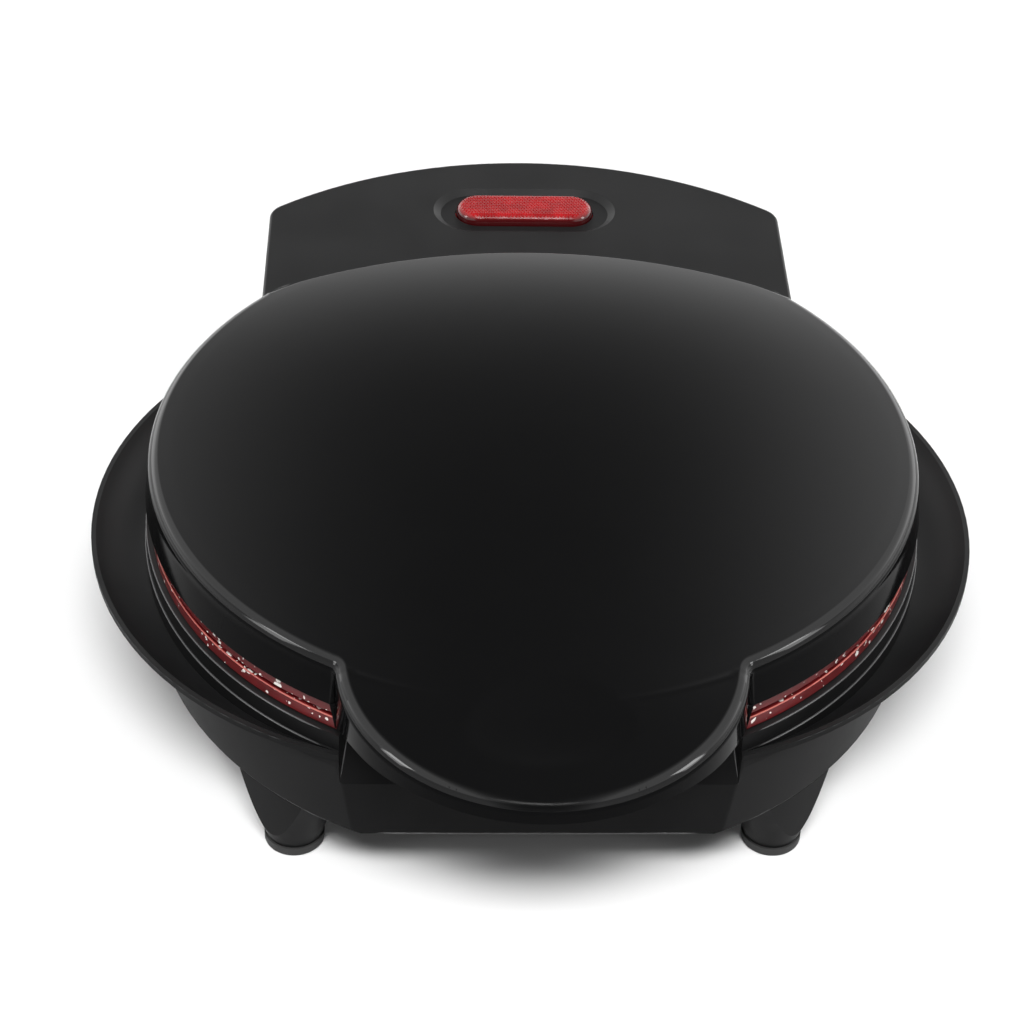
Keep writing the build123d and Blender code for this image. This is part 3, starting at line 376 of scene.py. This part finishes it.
def metal(name, dark, light, rough_low, rough_high, scale, grain=(1, 1, 1)):
    """Bare metal: brushed or rolled along one axis, with a mottled tint."""
    s = Shade(name)
    stroke = s.noise(scale, 3.0, 0.6, at=s.space(grain))
    mottle = s.noise(scale * 0.12, 4.0, 0.6)
    s.set(Base_Color=s.mix(s.span(mottle, 0.3, 0.7), dark, light),
          Roughness=s.span(stroke, 0.3, 0.7, rough_low, rough_high),
          Normal=s.bump(stroke, 0.1, 0.00005),
          Metallic=1.0)
    return s.mat


def matt(name, dark, light, rough_low, rough_high, scale, bump=0.2):
    """A dull solid colour: moulded rubber, ceramic or plain plastic."""
    s = Shade(name)
    pore = s.noise(scale, 3.0, 0.6)
    cloud = s.noise(scale * 0.05, 3.0, 0.6)
    s.set(Base_Color=s.mix(s.span(cloud, 0.3, 0.7), dark, light),
          Roughness=s.span(cloud, 0.3, 0.7, rough_low, rough_high),
          Normal=s.bump(pore, bump, 0.0001))
    return s.mat


def red_lens():
    """Clear red acrylic: a bright upward face, and sides painted darker red as painted shade."""
    s = Shade("red_lens")
    cloud = s.noise(260, 3.0, 0.6)
    face = s.mix(s.span(cloud, 0.3, 0.75), rgb(0.27, 0.003, 0.005), rgb(0.42, 0.007, 0.010))
    # Painted shade: faces tilted away from up get a dark red instead of the lens's own red.
    painted_shade_by_tilt = s.span(s.split("Normal")[2], 0.45, 0.93)
    s.set(Base_Color=s.mix(painted_shade_by_tilt, rgb(0.05, 0.0012, 0.002), face),
          Roughness=s.span(cloud, 0.3, 0.7, 0.10, 0.16),
          IOR=1.49, Coat_Weight=0.15, Coat_Roughness=0.06)
    return s.mat


def lamp_glass():
    """Smoked clear glass of the neon lamp."""
    s = Shade("lamp_glass")
    smoke = s.noise(300, 3.0, 0.6)
    s.set(Base_Color=s.mix(s.span(smoke, 0.3, 0.7), rgb(0.95, 0.72, 0.6), rgb(1.0, 0.86, 0.76)),
          Roughness=s.span(smoke, 0.3, 0.7, 0.03, 0.08),
          IOR=1.47, Transmission_Weight=0.85)
    return s.mat


SATIN = satin_black("satin_black", SATIN_SHEEN)
SATIN_BLOCK = satin_black("satin_block", SATIN_BLOCK_SHEEN)
# Painted shade: copies of the black materials with less sheen, for steep faces.
SATIN_SHADED_SIDE = satin_black("satin_side_painted_shade", SATIN_SHADED_SIDE_SHEEN)
GLOSS = gloss_black("gloss_black", GLOSS_SHEEN)
GLOSS_SHADED_EDGE = gloss_black("gloss_edge_painted_shade", GLOSS_SHADED_EDGE_SHEEN)
GLOSS_SHADED_SIDE = gloss_black("gloss_side_painted_shade", GLOSS_SHADED_SIDE_SHEEN)
RED = speckled_red()
SHEATH = metal("heater_sheath", rgb(0.20, 0.16, 0.13), rgb(0.42, 0.39, 0.37), 0.28, 0.42, 900)
CLIP = metal("clip_steel", rgb(0.50, 0.50, 0.50), rgb(0.64, 0.64, 0.65), 0.25, 0.38, 1600,
             (0.2, 1, 1))
SHEET = metal("reflector_sheet", rgb(0.76, 0.76, 0.77), rgb(0.86, 0.86, 0.87), 0.16, 0.28, 1400,
              (0.05, 1, 1))
PIN = metal("pin_steel", rgb(0.55, 0.55, 0.56), rgb(0.66, 0.66, 0.67), 0.2, 0.3, 1500,
            (1, 0.1, 0.1))
SCREW = metal("screw_steel", rgb(0.46, 0.46, 0.47), rgb(0.62, 0.62, 0.63), 0.22, 0.36, 2200)
CASE = metal("fuse_body", rgb(0.50, 0.45, 0.36), rgb(0.66, 0.60, 0.49), 0.28, 0.4, 1300)
# Painted shade: dark steel for the shaded hollows of the screws' cross recesses.
RECESS_SHADE = metal("recess_painted_shade", rgb(0.05, 0.05, 0.05), rgb(0.09, 0.09, 0.09), 0.4, 0.55, 1800)
CUP = matt("thermostat_body", rgb(0.66, 0.63, 0.56), rgb(0.80, 0.77, 0.70), 0.6, 0.75, 2400)
CERAMIC = matt("terminal_body", rgb(0.78, 0.77, 0.73), rgb(0.88, 0.87, 0.83), 0.55, 0.7, 2400)
RUBBER = matt("rubber_black", rgb(0.014, 0.014, 0.014), rgb(0.022, 0.022, 0.022), 0.65, 0.8,
              3200, 0.35)
HOLDER = matt("holder_white", rgb(0.72, 0.72, 0.70), rgb(0.84, 0.84, 0.82), 0.45, 0.6, 2600)
# Painted highlight: a dark grey, glossier and lighter than the black mouldings, for the beads along
# their edges.
HIGHLIGHT_BEAD = matt("bead_painted_highlight", rgb(0.050, 0.050, 0.051), rgb(0.066, 0.066, 0.067), 0.16, 0.24, 900,
            0.05)
# Painted highlight: a light red for the lit edge of the lower plate.
RED_EDGE_HIGHLIGHT = matt("red_painted_highlight", rgb(0.36, 0.075, 0.062), rgb(0.52, 0.15, 0.12), 0.26, 0.36, 1200, 0.1)
LENS = red_lens()
GLASS = lamp_glass()

BY_SLOT = {
    "black_satin": SATIN, "black_gloss": SATIN_BLOCK, "coated_cast": RED, "heater_sheath": SHEATH,
    "clip_steel": CLIP, "reflector_sheet": SHEET, "thermostat_body": CUP, "fuse_body": CASE,
    "terminal_body": CERAMIC, "rubber_black": RUBBER, "pin_steel": PIN, "screw_steel": SCREW,
    "lens_red": LENS, "holder_white": HOLDER, "lamp_glass": GLASS,
}


def dress_frame():
    """One material per node, and beside it on the drop sides of black mouldings a copy with less
    sheen, as painted shade.
    """
    slots = {part["node"]: part["material_slot"] for part in frame["record"]["subparts"]}
    for name, obj in NODES.items():
        mesh = obj.data
        mesh.materials.clear()
        mesh.materials.append(BY_SLOT[slots[name]])
        if slots[name] in ("black_satin", "black_gloss"):
            mesh.materials.append(SATIN_SHADED_SIDE)
            sides = [int(face.normal.z < SATIN_SHADED_SIDE_RISE) for face in mesh.polygons]
            mesh.polygons.foreach_set("material_index", sides)


# ---------------------------------------------------------------- mesh helpers
def add_object(name, data):
    obj = bpy.data.objects.new(name, data)
    bpy.context.scene.collection.objects.link(obj)
    return obj


def in_frame(x, y, z):
    """A point of the frame, in metres, from millimetres about the pan's own axis."""
    return Vector((x, y + PAN_Y, z)) / 1000


def new_piece(name, verts, faces, material, body, smooth=True):
    """A piece from points in millimetres about the pan's own axis."""
    mesh = bpy.data.meshes.new(name)
    mesh.from_pydata([in_frame(*vert) for vert in verts], [], faces)
    mesh.validate()
    form = bmesh.new()
    form.from_mesh(mesh)
    bmesh.ops.recalc_face_normals(form, faces=form.faces)
    form.to_mesh(mesh)
    form.free()
    mesh.polygons.foreach_set("use_smooth", [smooth] * len(mesh.polygons))
    mesh.materials.append(material)
    obj = add_object(name, mesh)
    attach(obj, body)
    return obj


def hermite(t, width, za, ma, zb, mb):
    """Height at share t of a curve with heights za and zb and slopes ma and mb at its ends."""
    return ((2 * t ** 3 - 3 * t * t + 1) * za + (t ** 3 - 2 * t * t + t) * width * ma
            + (3 * t * t - 2 * t ** 3) * zb + (t ** 3 - t * t) * width * mb)


def arc(centre, radius, start, end, step):
    """Points of a plan arc with outward normals, its last point left to the next arc."""
    count = max(2, int(abs(end - start) * abs(radius) / step))
    for i in range(count):
        angle = start + (end - start) * i / count
        ray = Vector((math.cos(angle), math.sin(angle)))
        yield centre + abs(radius) * ray, ray if radius > 0 else -ray


def inside(spot, loop):
    """Whether a plan point lies within a closed loop of points."""
    hit = False
    x, y = spot
    ax, ay = loop[-1]
    for bx, by in loop:
        if (ay > y) != (by > y) and x < (bx - ax) * (y - ay) / (by - ay) + ax:
            hit = not hit
        ax, ay = bx, by
    return hit


# ---------------------------------------------------------------- the lid's upper face
def crown(r):
    return LID_TOP - CROWN_R + math.sqrt(CROWN_R ** 2 - r * r)


def tongue_slope():
    return (crown(LID_R) - TONGUE_TIP_Z) / (TONGUE_REACH - LID_R)


def thumb_height(x, y):
    """Height of the ring surface that hollows the tongue under the thumb."""
    along = THUMB_HALF_Y ** 2 / (2 * THUMB_DEPTH)
    across = THUMB_HALF_X ** 2 / (2 * THUMB_DEPTH)
    lowest = TONGUE_TIP_Z + tongue_slope() * (THUMB_Y + TONGUE_REACH) - THUMB_DEPTH
    run = y - THUMB_Y
    if abs(run) >= along:
        return LID_TOP
    ring = across - along + math.sqrt(along ** 2 - run * run)
    if abs(x) >= ring:
        return LID_TOP
    return lowest + across - math.sqrt(ring ** 2 - x * x)


def lid_height(x, y):
    """Height of the lid's upper face: crown, then an even slope out to the tongue's tip."""
    r = math.hypot(x, y)
    rim_z, tip_slope = crown(LID_R), tongue_slope()
    end_slope = CROWN_END_R / math.sqrt(CROWN_R ** 2 - CROWN_END_R ** 2)
    near, far = LID_R - CROWN_END_R, TONGUE_REACH + OVERRUN - LID_R
    fall = (rim_z - crown(CROWN_END_R)) / near
    rim_slope = (3 * (far * fall - near * tip_slope) + far * end_slope
                 + near * tip_slope) / (2 * (near + far))
    if r <= CROWN_END_R:
        z = crown(r)
    elif r <= LID_R:
        z = hermite((r - CROWN_END_R) / near, near,
                    crown(CROWN_END_R), -end_slope, rim_z, rim_slope)
    else:
        z = hermite((r - LID_R) / far, far,
                    rim_z, rim_slope, TONGUE_TIP_Z - OVERRUN * tip_slope, -tip_slope)
    if y < 0:
        z -= CREASE_DEPTH * math.exp(-((r - CREASE_R) / CREASE_WIDTH) ** 2)
    if y < THUMB_REAR_Y:
        gap = z - thumb_height(x, y)
        if gap > THUMB_BLEND:
            z -= gap
        elif gap >= -THUMB_BLEND:
            z -= (gap + THUMB_BLEND) ** 2 / (4 * THUMB_BLEND)
    return z


def lid_normal(x, y):
    step = NORMAL_STEP
    return Vector(((lid_height(x - step, y) - lid_height(x + step, y)) / (2 * step),
                   (lid_height(x, y - step) - lid_height(x, y + step)) / (2 * step),
                   1.0)).normalized()


# ---------------------------------------------------------------- gloss shell of the lid
def lid_foot(place, on_step):
    """Height of the shell's lower rim under a point of the outline."""
    x, y = place
    if on_step > 0:
        return BLOCK_TOP
    if math.hypot(x, y) < LID_R + SKIRT_REACH:
        return SKIRT_Z
    if y > LIP_REAR_Y:
        return TONGUE_FOOT_Z
    if y < LIP_BEND_Y:
        return LIP_BEND_Z + (LIP_BEND_Y - max(y, LIP_TIP_Y)) * LIP_SLOPE
    return LIP_BEND_Z - hermite((y - LIP_BEND_Y) / LIP_RUN, LIP_RUN,
                                0.0, LIP_SLOPE, LIP_BEND_Z - TONGUE_FOOT_Z, LIP_REAR_SLOPE)


def lid_outline():
    """The lid's outline seen from above, all the way round.

    Each row is (point, outward normal, radius of the rolled edge, height of the foot).
    """
    reach, tongue = LID_R + TONGUE_CORNER, TONGUE_R + TONGUE_CORNER
    corner_y = (reach ** 2 - tongue ** 2 + TONGUE_Y ** 2) / (2 * TONGUE_Y)
    corner_x = math.sqrt(reach ** 2 - corner_y ** 2)
    step_y = (STEP_R ** 2 - LID_R ** 2 - STEP_Y ** 2) / (-2 * STEP_Y)
    step_x = math.sqrt(LID_R ** 2 - step_y ** 2)
    dome_front = math.atan2(corner_y, corner_x)
    dome_rear = math.atan2(step_y, step_x)
    step_start = math.atan2(step_y - STEP_Y, step_x)
    tongue_start = math.atan2(corner_y - TONGUE_Y, corner_x)
    dome, tip, step = Vector((0, 0)), Vector((0, TONGUE_Y)), Vector((0, STEP_Y))
    right, left = Vector((corner_x, corner_y)), Vector((-corner_x, corner_y))
    half = math.pi
    points = []
    for centre, radius, start, end, pitch in (
            (tip, TONGUE_R, -half - tongue_start, tongue_start, TONGUE_PITCH),
            (right, -TONGUE_CORNER, tongue_start + half, dome_front + half, CORNER_PITCH),
            (dome, LID_R, dome_front, dome_rear, DOME_PITCH),
            (step, STEP_R, step_start, half - step_start, DOME_PITCH),
            (dome, LID_R, half - dome_rear, half - dome_front, DOME_PITCH),
            (left, -TONGUE_CORNER, -dome_front, -tongue_start, CORNER_PITCH)):
        points += arc(centre, radius, start, end, pitch)
    rows = []
    for place, ray in points:
        on_step = 0.0
        if place.y > 0:
            on_step = max(0.0, min(1.0, (place.y - step_y + STEP_LEAD) / STEP_BLEND))
        edge = LID_EDGE + (STEP_EDGE - LID_EDGE) * on_step
        rows.append((place, ray, edge, lid_foot(place, on_step)))
    return rows


def edge_seats(outline):
    """Where the rolled edge sits under the upper face: (centre, height, normal at the contact)."""
    seats = []
    for place, ray, edge, foot in outline:
        centre = place - ray * edge
        up = Vector((0, 0, 1))
        for _ in range(SEAT_PASSES):
            at = centre + edge * up.xy
            up = lid_normal(at.x, at.y)
        at = centre + edge * up.xy
        seats.append((centre, lid_height(at.x, at.y) - edge * up.z, up))
    return seats


def wall_ring(outline, seats, share):
    """One ring of the drop sides, with its normals, at a share of their height."""
    for (place, ray, edge, foot), (centre, height, up) in zip(outline, seats):
        on_skirt = foot == SKIRT_Z
        flat = place + ray * (SKIRT_FLARE * (1 - share) if on_skirt else 0.0)
        tilt = SKIRT_FLARE / (height - SKIRT_Z) if on_skirt else 0.0
        yield (Vector((*flat, foot + (height - foot) * share)),
               Vector((*ray, tilt)).normalized())


def edge_ring(outline, seats, share):
    """One ring of the rolled edge, with its normals, at a share of its turn."""
    for (place, ray, edge, foot), (centre, height, up) in zip(outline, seats):
        way = Vector((*ray, 0.0)).slerp(up, share)
        yield Vector((*centre, height)) + edge * way, way


def field_points(outline, seats):
    """Plan points that fill the upper face: an even grid, and close rings along the crease."""
    inner = [seat[0] - row[1] * FIELD_INSET for row, seat in zip(outline, seats)]
    spots = []
    span = int(FIELD_REACH / FIELD_STEP)
    for i in range(-span, span + 1):
        for j in range(-span, span + 1):
            spot = Vector((i * FIELD_STEP, (j + 0.5 * (i % 2)) * FIELD_STEP))
            if spot.y >= 0 or abs(spot.length - CREASE_R) >= 3 * CREASE_WIDTH:
                spots.append(spot)
    for k in range(-CREASE_RINGS, CREASE_RINGS + 1):
        radius = CREASE_R + CREASE_PITCH * k * CREASE_WIDTH
        for i in range(CREASE_TURNS):
            angle = -math.pi * (0.2 + 0.6 * i / CREASE_TURNS)
            spots.append(Vector((radius * math.cos(angle), radius * math.sin(angle))))
    return [spot for spot in spots if inside(spot, inner)]


def lid_shell():
    """Gloss shell: rolled edge, drop sides and crown, with the exact normals of the surface; its
    edge and sides take less sheen as painted shade.
    """
    outline = lid_outline()
    seats = edge_seats(outline)
    count = len(outline)
    rows = [wall_ring(outline, seats, k / WALL_RINGS) for k in range(WALL_RINGS)]
    rows += [edge_ring(outline, seats, k / EDGE_RINGS) for k in range(EDGE_RINGS + 1)]
    verts, normals, faces = [], [], []
    for row in rows:
        for place, normal in row:
            verts.append(place)
            normals.append(normal)
    for low in range(0, (len(rows) - 1) * count, count):
        for i in range(count):
            j = (i + 1) % count
            faces.append((low + i, low + j, low + count + j, low + count + i))
    last = (len(rows) - 1) * count
    rim = [vert.xy for vert in verts[last:]]
    flat, _, cells, origin, _, _ = delaunay_2d_cdt(
        rim + field_points(outline, seats), [], [list(range(count))], 1, 1e-6)
    index = []
    for spot, sources in zip(flat, origin):
        source = min(sources) if sources else -1
        if 0 <= source < count:
            index.append(last + source)
            continue
        index.append(len(verts))
        verts.append(Vector((*spot, lid_height(*spot))))
        normals.append(lid_normal(*spot))
    faces += [tuple(index[v] for v in cell) for cell in cells]
    mesh = bpy.data.meshes.new("lid_shell")
    mesh.from_pydata([in_frame(*vert) for vert in verts], [], faces)
    mesh.polygons.foreach_set("use_smooth", [True] * len(mesh.polygons))
    mesh.validate()
    mesh.normals_split_custom_set_from_vertices(normals)
    # Painted shade: the rolled edge and the drop sides take copies of the gloss with less sheen.
    for material in (GLOSS, GLOSS_SHADED_EDGE, GLOSS_SHADED_SIDE):
        mesh.materials.append(material)
    turned = [(face.normal.z < GLOSS_SHADED_EDGE_RISE) + (face.normal.z < GLOSS_SHADED_SIDE_RISE)
              for face in mesh.polygons]
    mesh.polygons.foreach_set("material_index", turned)
    obj = add_object("lid_shell", mesh)
    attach(obj, "lid")
    return obj


def lid_frame(shell):
    """The rest of the lid cover: its CAD mesh without the outer faces that the shell stands for."""
    skin = BVHTree.FromPolygons([vert.co for vert in shell.data.vertices],
                                [tuple(face.vertices) for face in shell.data.polygons])
    mesh = NODES["lid_cover"].data.copy()
    mesh.name = "lid_frame"
    form = bmesh.new()
    form.from_mesh(mesh)
    covered = []
    for face in form.faces:
        place, normal, _, distance = skin.find_nearest(face.calc_center_median())
        if distance < SHELL_FIT and normal.dot(face.normal) > SHELL_TURN:
            covered.append(face)
    bmesh.ops.delete(form, geom=covered, context="FACES_ONLY")
    form.to_mesh(mesh)
    form.free()
    obj = add_object("lid_frame", mesh)
    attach(obj, "lid")
    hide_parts("lid_cover")


# ---------------------------------------------------------------- small pieces
def lens_relief():
    """Moulded relief on the indicator lens: rows of small domes over its crowned face."""
    half_x, half_y = LENS_LONG / 2 - RELIEF_MARGIN, LENS_WIDE / 2 - RELIEF_MARGIN
    columns, rows = int(2 * half_x / RELIEF_STEP), int(2 * half_y / RELIEF_STEP)
    index, verts, faces = {}, [], []
    for i in range(columns + 1):
        for j in range(rows + 1):
            x, y = -half_x + i * RELIEF_STEP, -half_y + j * RELIEF_STEP
            off = math.hypot(max(0.0, abs(x) - (LENS_LONG - LENS_WIDE) / 2), y)
            depth = LENS_WIDE / 2 - off
            if depth < RELIEF_LEAST:
                continue
            fall = max(0.0, LENS_EDGE - depth)
            z = LENS_TOP - LENS_EDGE + math.sqrt(LENS_EDGE ** 2 - fall ** 2) + LENS_SKIN
            row = round(y / DOT_ROW)
            across = x / DOT_PITCH - 0.5 * (row % 2)
            dx = (across - round(across)) * DOT_PITCH
            dy = y - row * DOT_ROW
            bulge = max(0.0, 1 - (dx * dx + dy * dy) / DOT_R ** 2)
            z += DOT_RISE * bulge * min(1.0, max(0.0, depth - DOT_CLEAR))
            index[i, j] = len(verts)
            verts.append((x, LENS_Y + y, z))
    for i, j in index:
        corners = [(i, j), (i + 1, j), (i + 1, j + 1), (i, j + 1)]
        if all(corner in index for corner in corners):
            faces.append([index[corner] for corner in corners])
    new_piece("lens_relief", verts, faces, LENS, "lid")


def edge_bead(name, points, radius, closed=False, material=HIGHLIGHT_BEAD):
    """A thin rolled bead on the base along a path of points, tapering out at open ends; by default
    lighter than the moulding, a painted highlight.
    """
    verts, faces = [], []
    count = len(points)
    for i, point in enumerate(points):
        before, after = points[max(0, i - 1)], points[min(count - 1, i + 1)]
        thick = radius * min(1.0, BEAD_TIP + i / BEAD_TAPER, BEAD_TIP + (count - 1 - i) / BEAD_TAPER)
        if closed:
            before, after = points[i - 1], points[(i + 1) % count]
            thick = radius
        along = (Vector(after) - Vector(before)).normalized()
        across = along.cross(Vector((0, 0, 1))).normalized()
        rise = across.cross(along)
        for k in range(BEAD_SIDES):
            turn = math.tau * k / BEAD_SIDES
            verts.append(Vector(point) + thick * (math.cos(turn) * across + math.sin(turn) * rise))
    for i in range(count if closed else count - 1):
        ahead = (i + 1) % count * BEAD_SIDES
        for k in range(BEAD_SIDES):
            turn = (k + 1) % BEAD_SIDES
            faces.append((i * BEAD_SIDES + k, i * BEAD_SIDES + turn, ahead + turn, ahead + k))
    if not closed:
        faces.append(tuple(range(BEAD_SIDES)))
        faces.append(tuple((count - 1) * BEAD_SIDES + k for k in range(BEAD_SIDES)))
    new_piece(name, verts, faces, material, "base")


def mirrored_beads(name, points, radius):
    edge_bead(name + "_right", points, radius)
    edge_bead(name + "_left", [(-x, y, z) for x, y, z in points], radius)


def line_points(start, end):
    start, end = Vector(start), Vector(end)
    count = max(8, int((end - start).length / BEAD_STEP))
    return [tuple(start.lerp(end, i / count)) for i in range(count + 1)]


def ring_points(radius, z, start, end, centre=(0.0, 0.0)):
    count = int(abs(end - start) * radius / BEAD_STEP)
    angles = [start + (end - start) * i / count for i in range(count + 1)]
    return [(centre[0] + radius * math.cos(angle), centre[1] + radius * math.sin(angle), z)
            for angle in angles]


def rim_beads():
    """Rolled edges of the base: rim, ledge, wing lips, foot edge and the scoop's corners, each a
    bead lighter than the black moulding as a painted highlight.
    """
    rim = ring_points(RIM_R - RIM_INSET, RIM_Z - RIM_INSET, RIM_FRONT, RIM_REAR)
    ledge = ring_points(LEDGE_R - RIM_INSET, LEDGE_Z - RIM_INSET, RIM_FRONT, RIM_REAR)
    wing = ring_points(WING_R - WING_INSET, LEDGE_Z - WING_INSET, WING_FRONT, WING_REAR,
                       (WING_X, WING_Y))
    foot = ring_points(FOOT_R - FOOT_INSET, FOOT_Z + FOOT_LIFT, FOOT_FRONT, RIM_REAR)
    front_y, front_z = FRONT_Y + FRONT_INSET, FOOT_Z + FRONT_LIFT
    front = line_points((-FRONT_HALF, front_y, front_z), (FRONT_HALF, front_y, front_z))
    top = RIM_Z - FRONT_LIFT
    edge_x, seam_x = SCOOP_X_FRONT + SCOOP_INSET, SCOOP_X_FRONT - SCOOP_INSET
    edge = line_points((edge_x, front_y, SCOOP_Z), (edge_x, front_y, top))
    seam = line_points((seam_x, FRONT_Y + SCOOP_INSET, SCOOP_Z), (SCOOP_X_BACK, SCOOP_TOP_Y, top))
    mirrored_beads("rim_bead", rim, RIM_BEAD_R)
    mirrored_beads("ledge_bead", ledge, RIM_BEAD_R)
    mirrored_beads("wing_bead", wing, WING_BEAD_R)
    mirrored_beads("foot_bead", foot, FOOT_BEAD_R)
    edge_bead("front_bead", front, FRONT_BEAD_R)
    mirrored_beads("scoop_edge_bead", edge, SCOOP_BEAD_R)
    mirrored_beads("scoop_seam_bead", seam, SCOOP_BEAD_R)


def plate_bead():
    """Bright edge round the lower plate's cooking face: a lighter red bead, a painted highlight."""
    points = ring_points(PLATE_R - PLATE_INSET, PLATE_Z - PLATE_INSET, 0.0, math.tau)[:-1]
    edge_bead("plate_bead", points, PLATE_BEAD_R, closed=True, material=RED_EDGE_HIGHLIGHT)


def screw_heads(node):
    """Place and radius of each screw head in a node, its screws standing head down."""
    groups = {}
    for vertex in NODES[node].data.vertices:
        place = NODES[node].matrix_world @ vertex.co * 1000
        key = next((k for k in groups if math.dist(k, place.xy) < SCREW_GAP), tuple(place.xy))
        groups.setdefault(key, []).append(place)
    for places in groups.values():
        lowest = min(place.z for place in places)
        rim = [place for place in places if place.z < lowest + HEAD_RIM]
        centre = sum((place.xy for place in rim), Vector((0, 0))) / len(rim)
        radius = max((place.xy - centre).length for place in rim)
        yield centre.x, centre.y - PAN_Y, lowest, radius


def cross_recesses(screws, body):
    """Cross recesses of screw heads that face down, each a bevelled dark cross in its head, painted
    shade for the hollow of the recess.
    """
    verts, faces = [], []
    for x, y, z, radius in screw_heads(screws):
        arm, half = RECESS_ARM * radius, RECESS_HALF * radius
        corners = [(arm, -half), (arm, half), (half, half), (half, arm), (-half, arm), (-half, half),
                   (-arm, half), (-arm, -half), (-half, -half), (-half, -arm), (half, -arm),
                   (half, -half)]
        sides = len(corners)
        start = len(verts)
        for size, height in RECESS_LEVELS:
            verts += [(x + cx * size, y + cy * size, z + height) for cx, cy in corners]
        for low in (start, start + sides):
            for i in range(sides):
                j = (i + 1) % sides
                faces.append((low + i, low + j, low + sides + j, low + sides + i))
        faces.append(tuple(range(start + 2 * sides, start + 3 * sides)))
        faces.append(tuple(range(start, start + sides)))
    new_piece(screws.replace("screws", "recesses"), verts, faces, RECESS_SHADE, body, smooth=False)


# ---------------------------------------------------------------- floor, light and camera
def floor():
    """White paper that catches the shadow, a little brighter to camera and mirror rays."""
    mesh = bpy.data.meshes.new("floor")
    form = bmesh.new()
    bmesh.ops.create_grid(form, x_segments=8, y_segments=8, size=FLOOR_HALF)
    form.to_mesh(mesh)
    form.free()
    obj = add_object("floor", mesh)
    s = Shade("floor_white")
    camera_ray, mirror = s.off_camera()
    glow = s.math("MULTIPLY", s.math("MAXIMUM", camera_ray, mirror), FLOOR_GLOW)
    s.set(Base_Color=s.mix(s.noise(6, 2.0, 0.5), rgb(0.86, 0.86, 0.86), rgb(0.88, 0.88, 0.88)),
          Roughness=0.9, Specular_IOR_Level=0.0,
          Emission_Color=rgb(1, 1, 1), Emission_Strength=glow)
    mesh.materials.append(s.mat)


def world():
    """White to the camera, a studio to mirror rays, and a key light with some fill to the rest.

    The studio is white low down behind the object and out to its sides, and dark overhead.
    """
    data = bpy.data.worlds.new("studio")
    bpy.context.scene.world = data
    data.use_nodes = True
    data.node_tree.nodes.clear()
    w = Tree(data.node_tree)
    sideways, ahead, rise = w.split("Generated")
    above = w.math("SUBTRACT", w.math("MAXIMUM", rise, HORIZON_Z), HORIZON_Z)
    fade = w.math("EXPONENT", w.math("MULTIPLY", w.math("DIVIDE", above, HORIZON_FADE), -1.0))
    horizon = w.math("MULTIPLY", w.math("MULTIPLY", fade, HORIZON_LEVEL),
                     w.span(ahead, *REAR_FADE, FRONT_SHARE, 1.0))
    flank = w.math("MULTIPLY", w.math("POWER", w.math("ABSOLUTE", sideways), 3.0), FLANK_LEVEL)
    studio = w.math("ADD", w.math("ADD", horizon, w.math("MINIMUM", flank, 1.0)), CEILING_LEVEL)
    off_beam = w.math("ADD", w.math("MULTIPLY", ahead, math.cos(KEY_TILT)),
                      w.math("MULTIPLY", rise, math.sin(KEY_TILT)))
    key = w.math("GREATER_THAN", rise, 0.0)
    for across, fades in ((off_beam, KEY_SLIM), (sideways, KEY_BROAD)):
        key = w.math("MULTIPLY", key, w.span(w.math("ABSOLUTE", across), *fades, 1.0, 0.0))
    fill = w.math("MULTIPLY_ADD", key, KEY_LEVEL, SKY_LEVEL)
    camera_ray, mirror = w.off_camera()
    rest = w.math("SUBTRACT", 1.0, w.math("MAXIMUM", mirror, camera_ray))
    light = w.math("ADD", w.math("MULTIPLY", mirror, studio), w.math("MULTIPLY", rest, fill))
    back = w.nodes.new("ShaderNodeBackground")
    w.put(back.inputs["Color"], rgb(1, 1, 1))
    w.put(back.inputs["Strength"], w.math("ADD", camera_ray, light))
    w.links.new(back.outputs[0], w.nodes.new("ShaderNodeOutputWorld").inputs[0])


def softbox(name, side):
    data = bpy.data.lights.new(name, "AREA")
    data.shape = "RECTANGLE"
    data.size, data.size_y = SOFTBOX_SIZE
    data.energy = SOFTBOX_WATTS
    obj = add_object(name, data)
    x, y, z = SOFTBOX_PLACE
    obj.location = (side * x, y, z)
    aim = Vector(SOFTBOX_AIM) - obj.location
    obj.rotation_euler = aim.to_track_quat("-Z", "Y").to_euler()


def camera():
    """The photo's view, from in front and above, a little turned and rolled."""
    level = Vector((math.sin(CAMERA_YAW), math.cos(CAMERA_YAW), 0.0))
    right = Vector((math.cos(CAMERA_YAW), -math.sin(CAMERA_YAW), 0.0))
    rise = Vector((0.0, 0.0, 1.0))
    back = math.sin(CAMERA_TILT) * rise - math.cos(CAMERA_TILT) * level
    up = math.cos(CAMERA_TILT) * rise + math.sin(CAMERA_TILT) * level
    side = math.cos(CAMERA_ROLL) * right + math.sin(CAMERA_ROLL) * up
    top = math.cos(CAMERA_ROLL) * up - math.sin(CAMERA_ROLL) * right
    data = bpy.data.cameras.new("camera")
    data.sensor_width = CAMERA_SENSOR
    data.lens = CAMERA_LENS
    data.shift_x, data.shift_y = CAMERA_SHIFT
    data.clip_start, data.clip_end = CAMERA_CLIP
    obj = add_object("camera", data)
    turn = Matrix((side, top, back)).transposed().to_4x4()
    aim = Vector((0.0, PAN_Y / 1000, CAMERA_AIM_Z))
    obj.matrix_world = Matrix.Translation(aim + CAMERA_DISTANCE * back) @ turn
    bpy.context.scene.camera = obj


# ---------------------------------------------------------------- the scene
dress_frame()
lid_frame(lid_shell())
plate_bead()
lens_relief()
rim_beads()
for screws, body in (("upper_plate_screws", "lid"), ("block_cover_screws", "lid"),
                     ("bottom_cover_screws", "base"), ("lower_plate_screws", "base")):
    cross_recesses(screws, body)
floor()
world()
softbox("left_softbox", -1)
softbox("right_softbox", 1)
camera()

scene = bpy.context.scene
scene.view_settings.view_transform = "Standard"
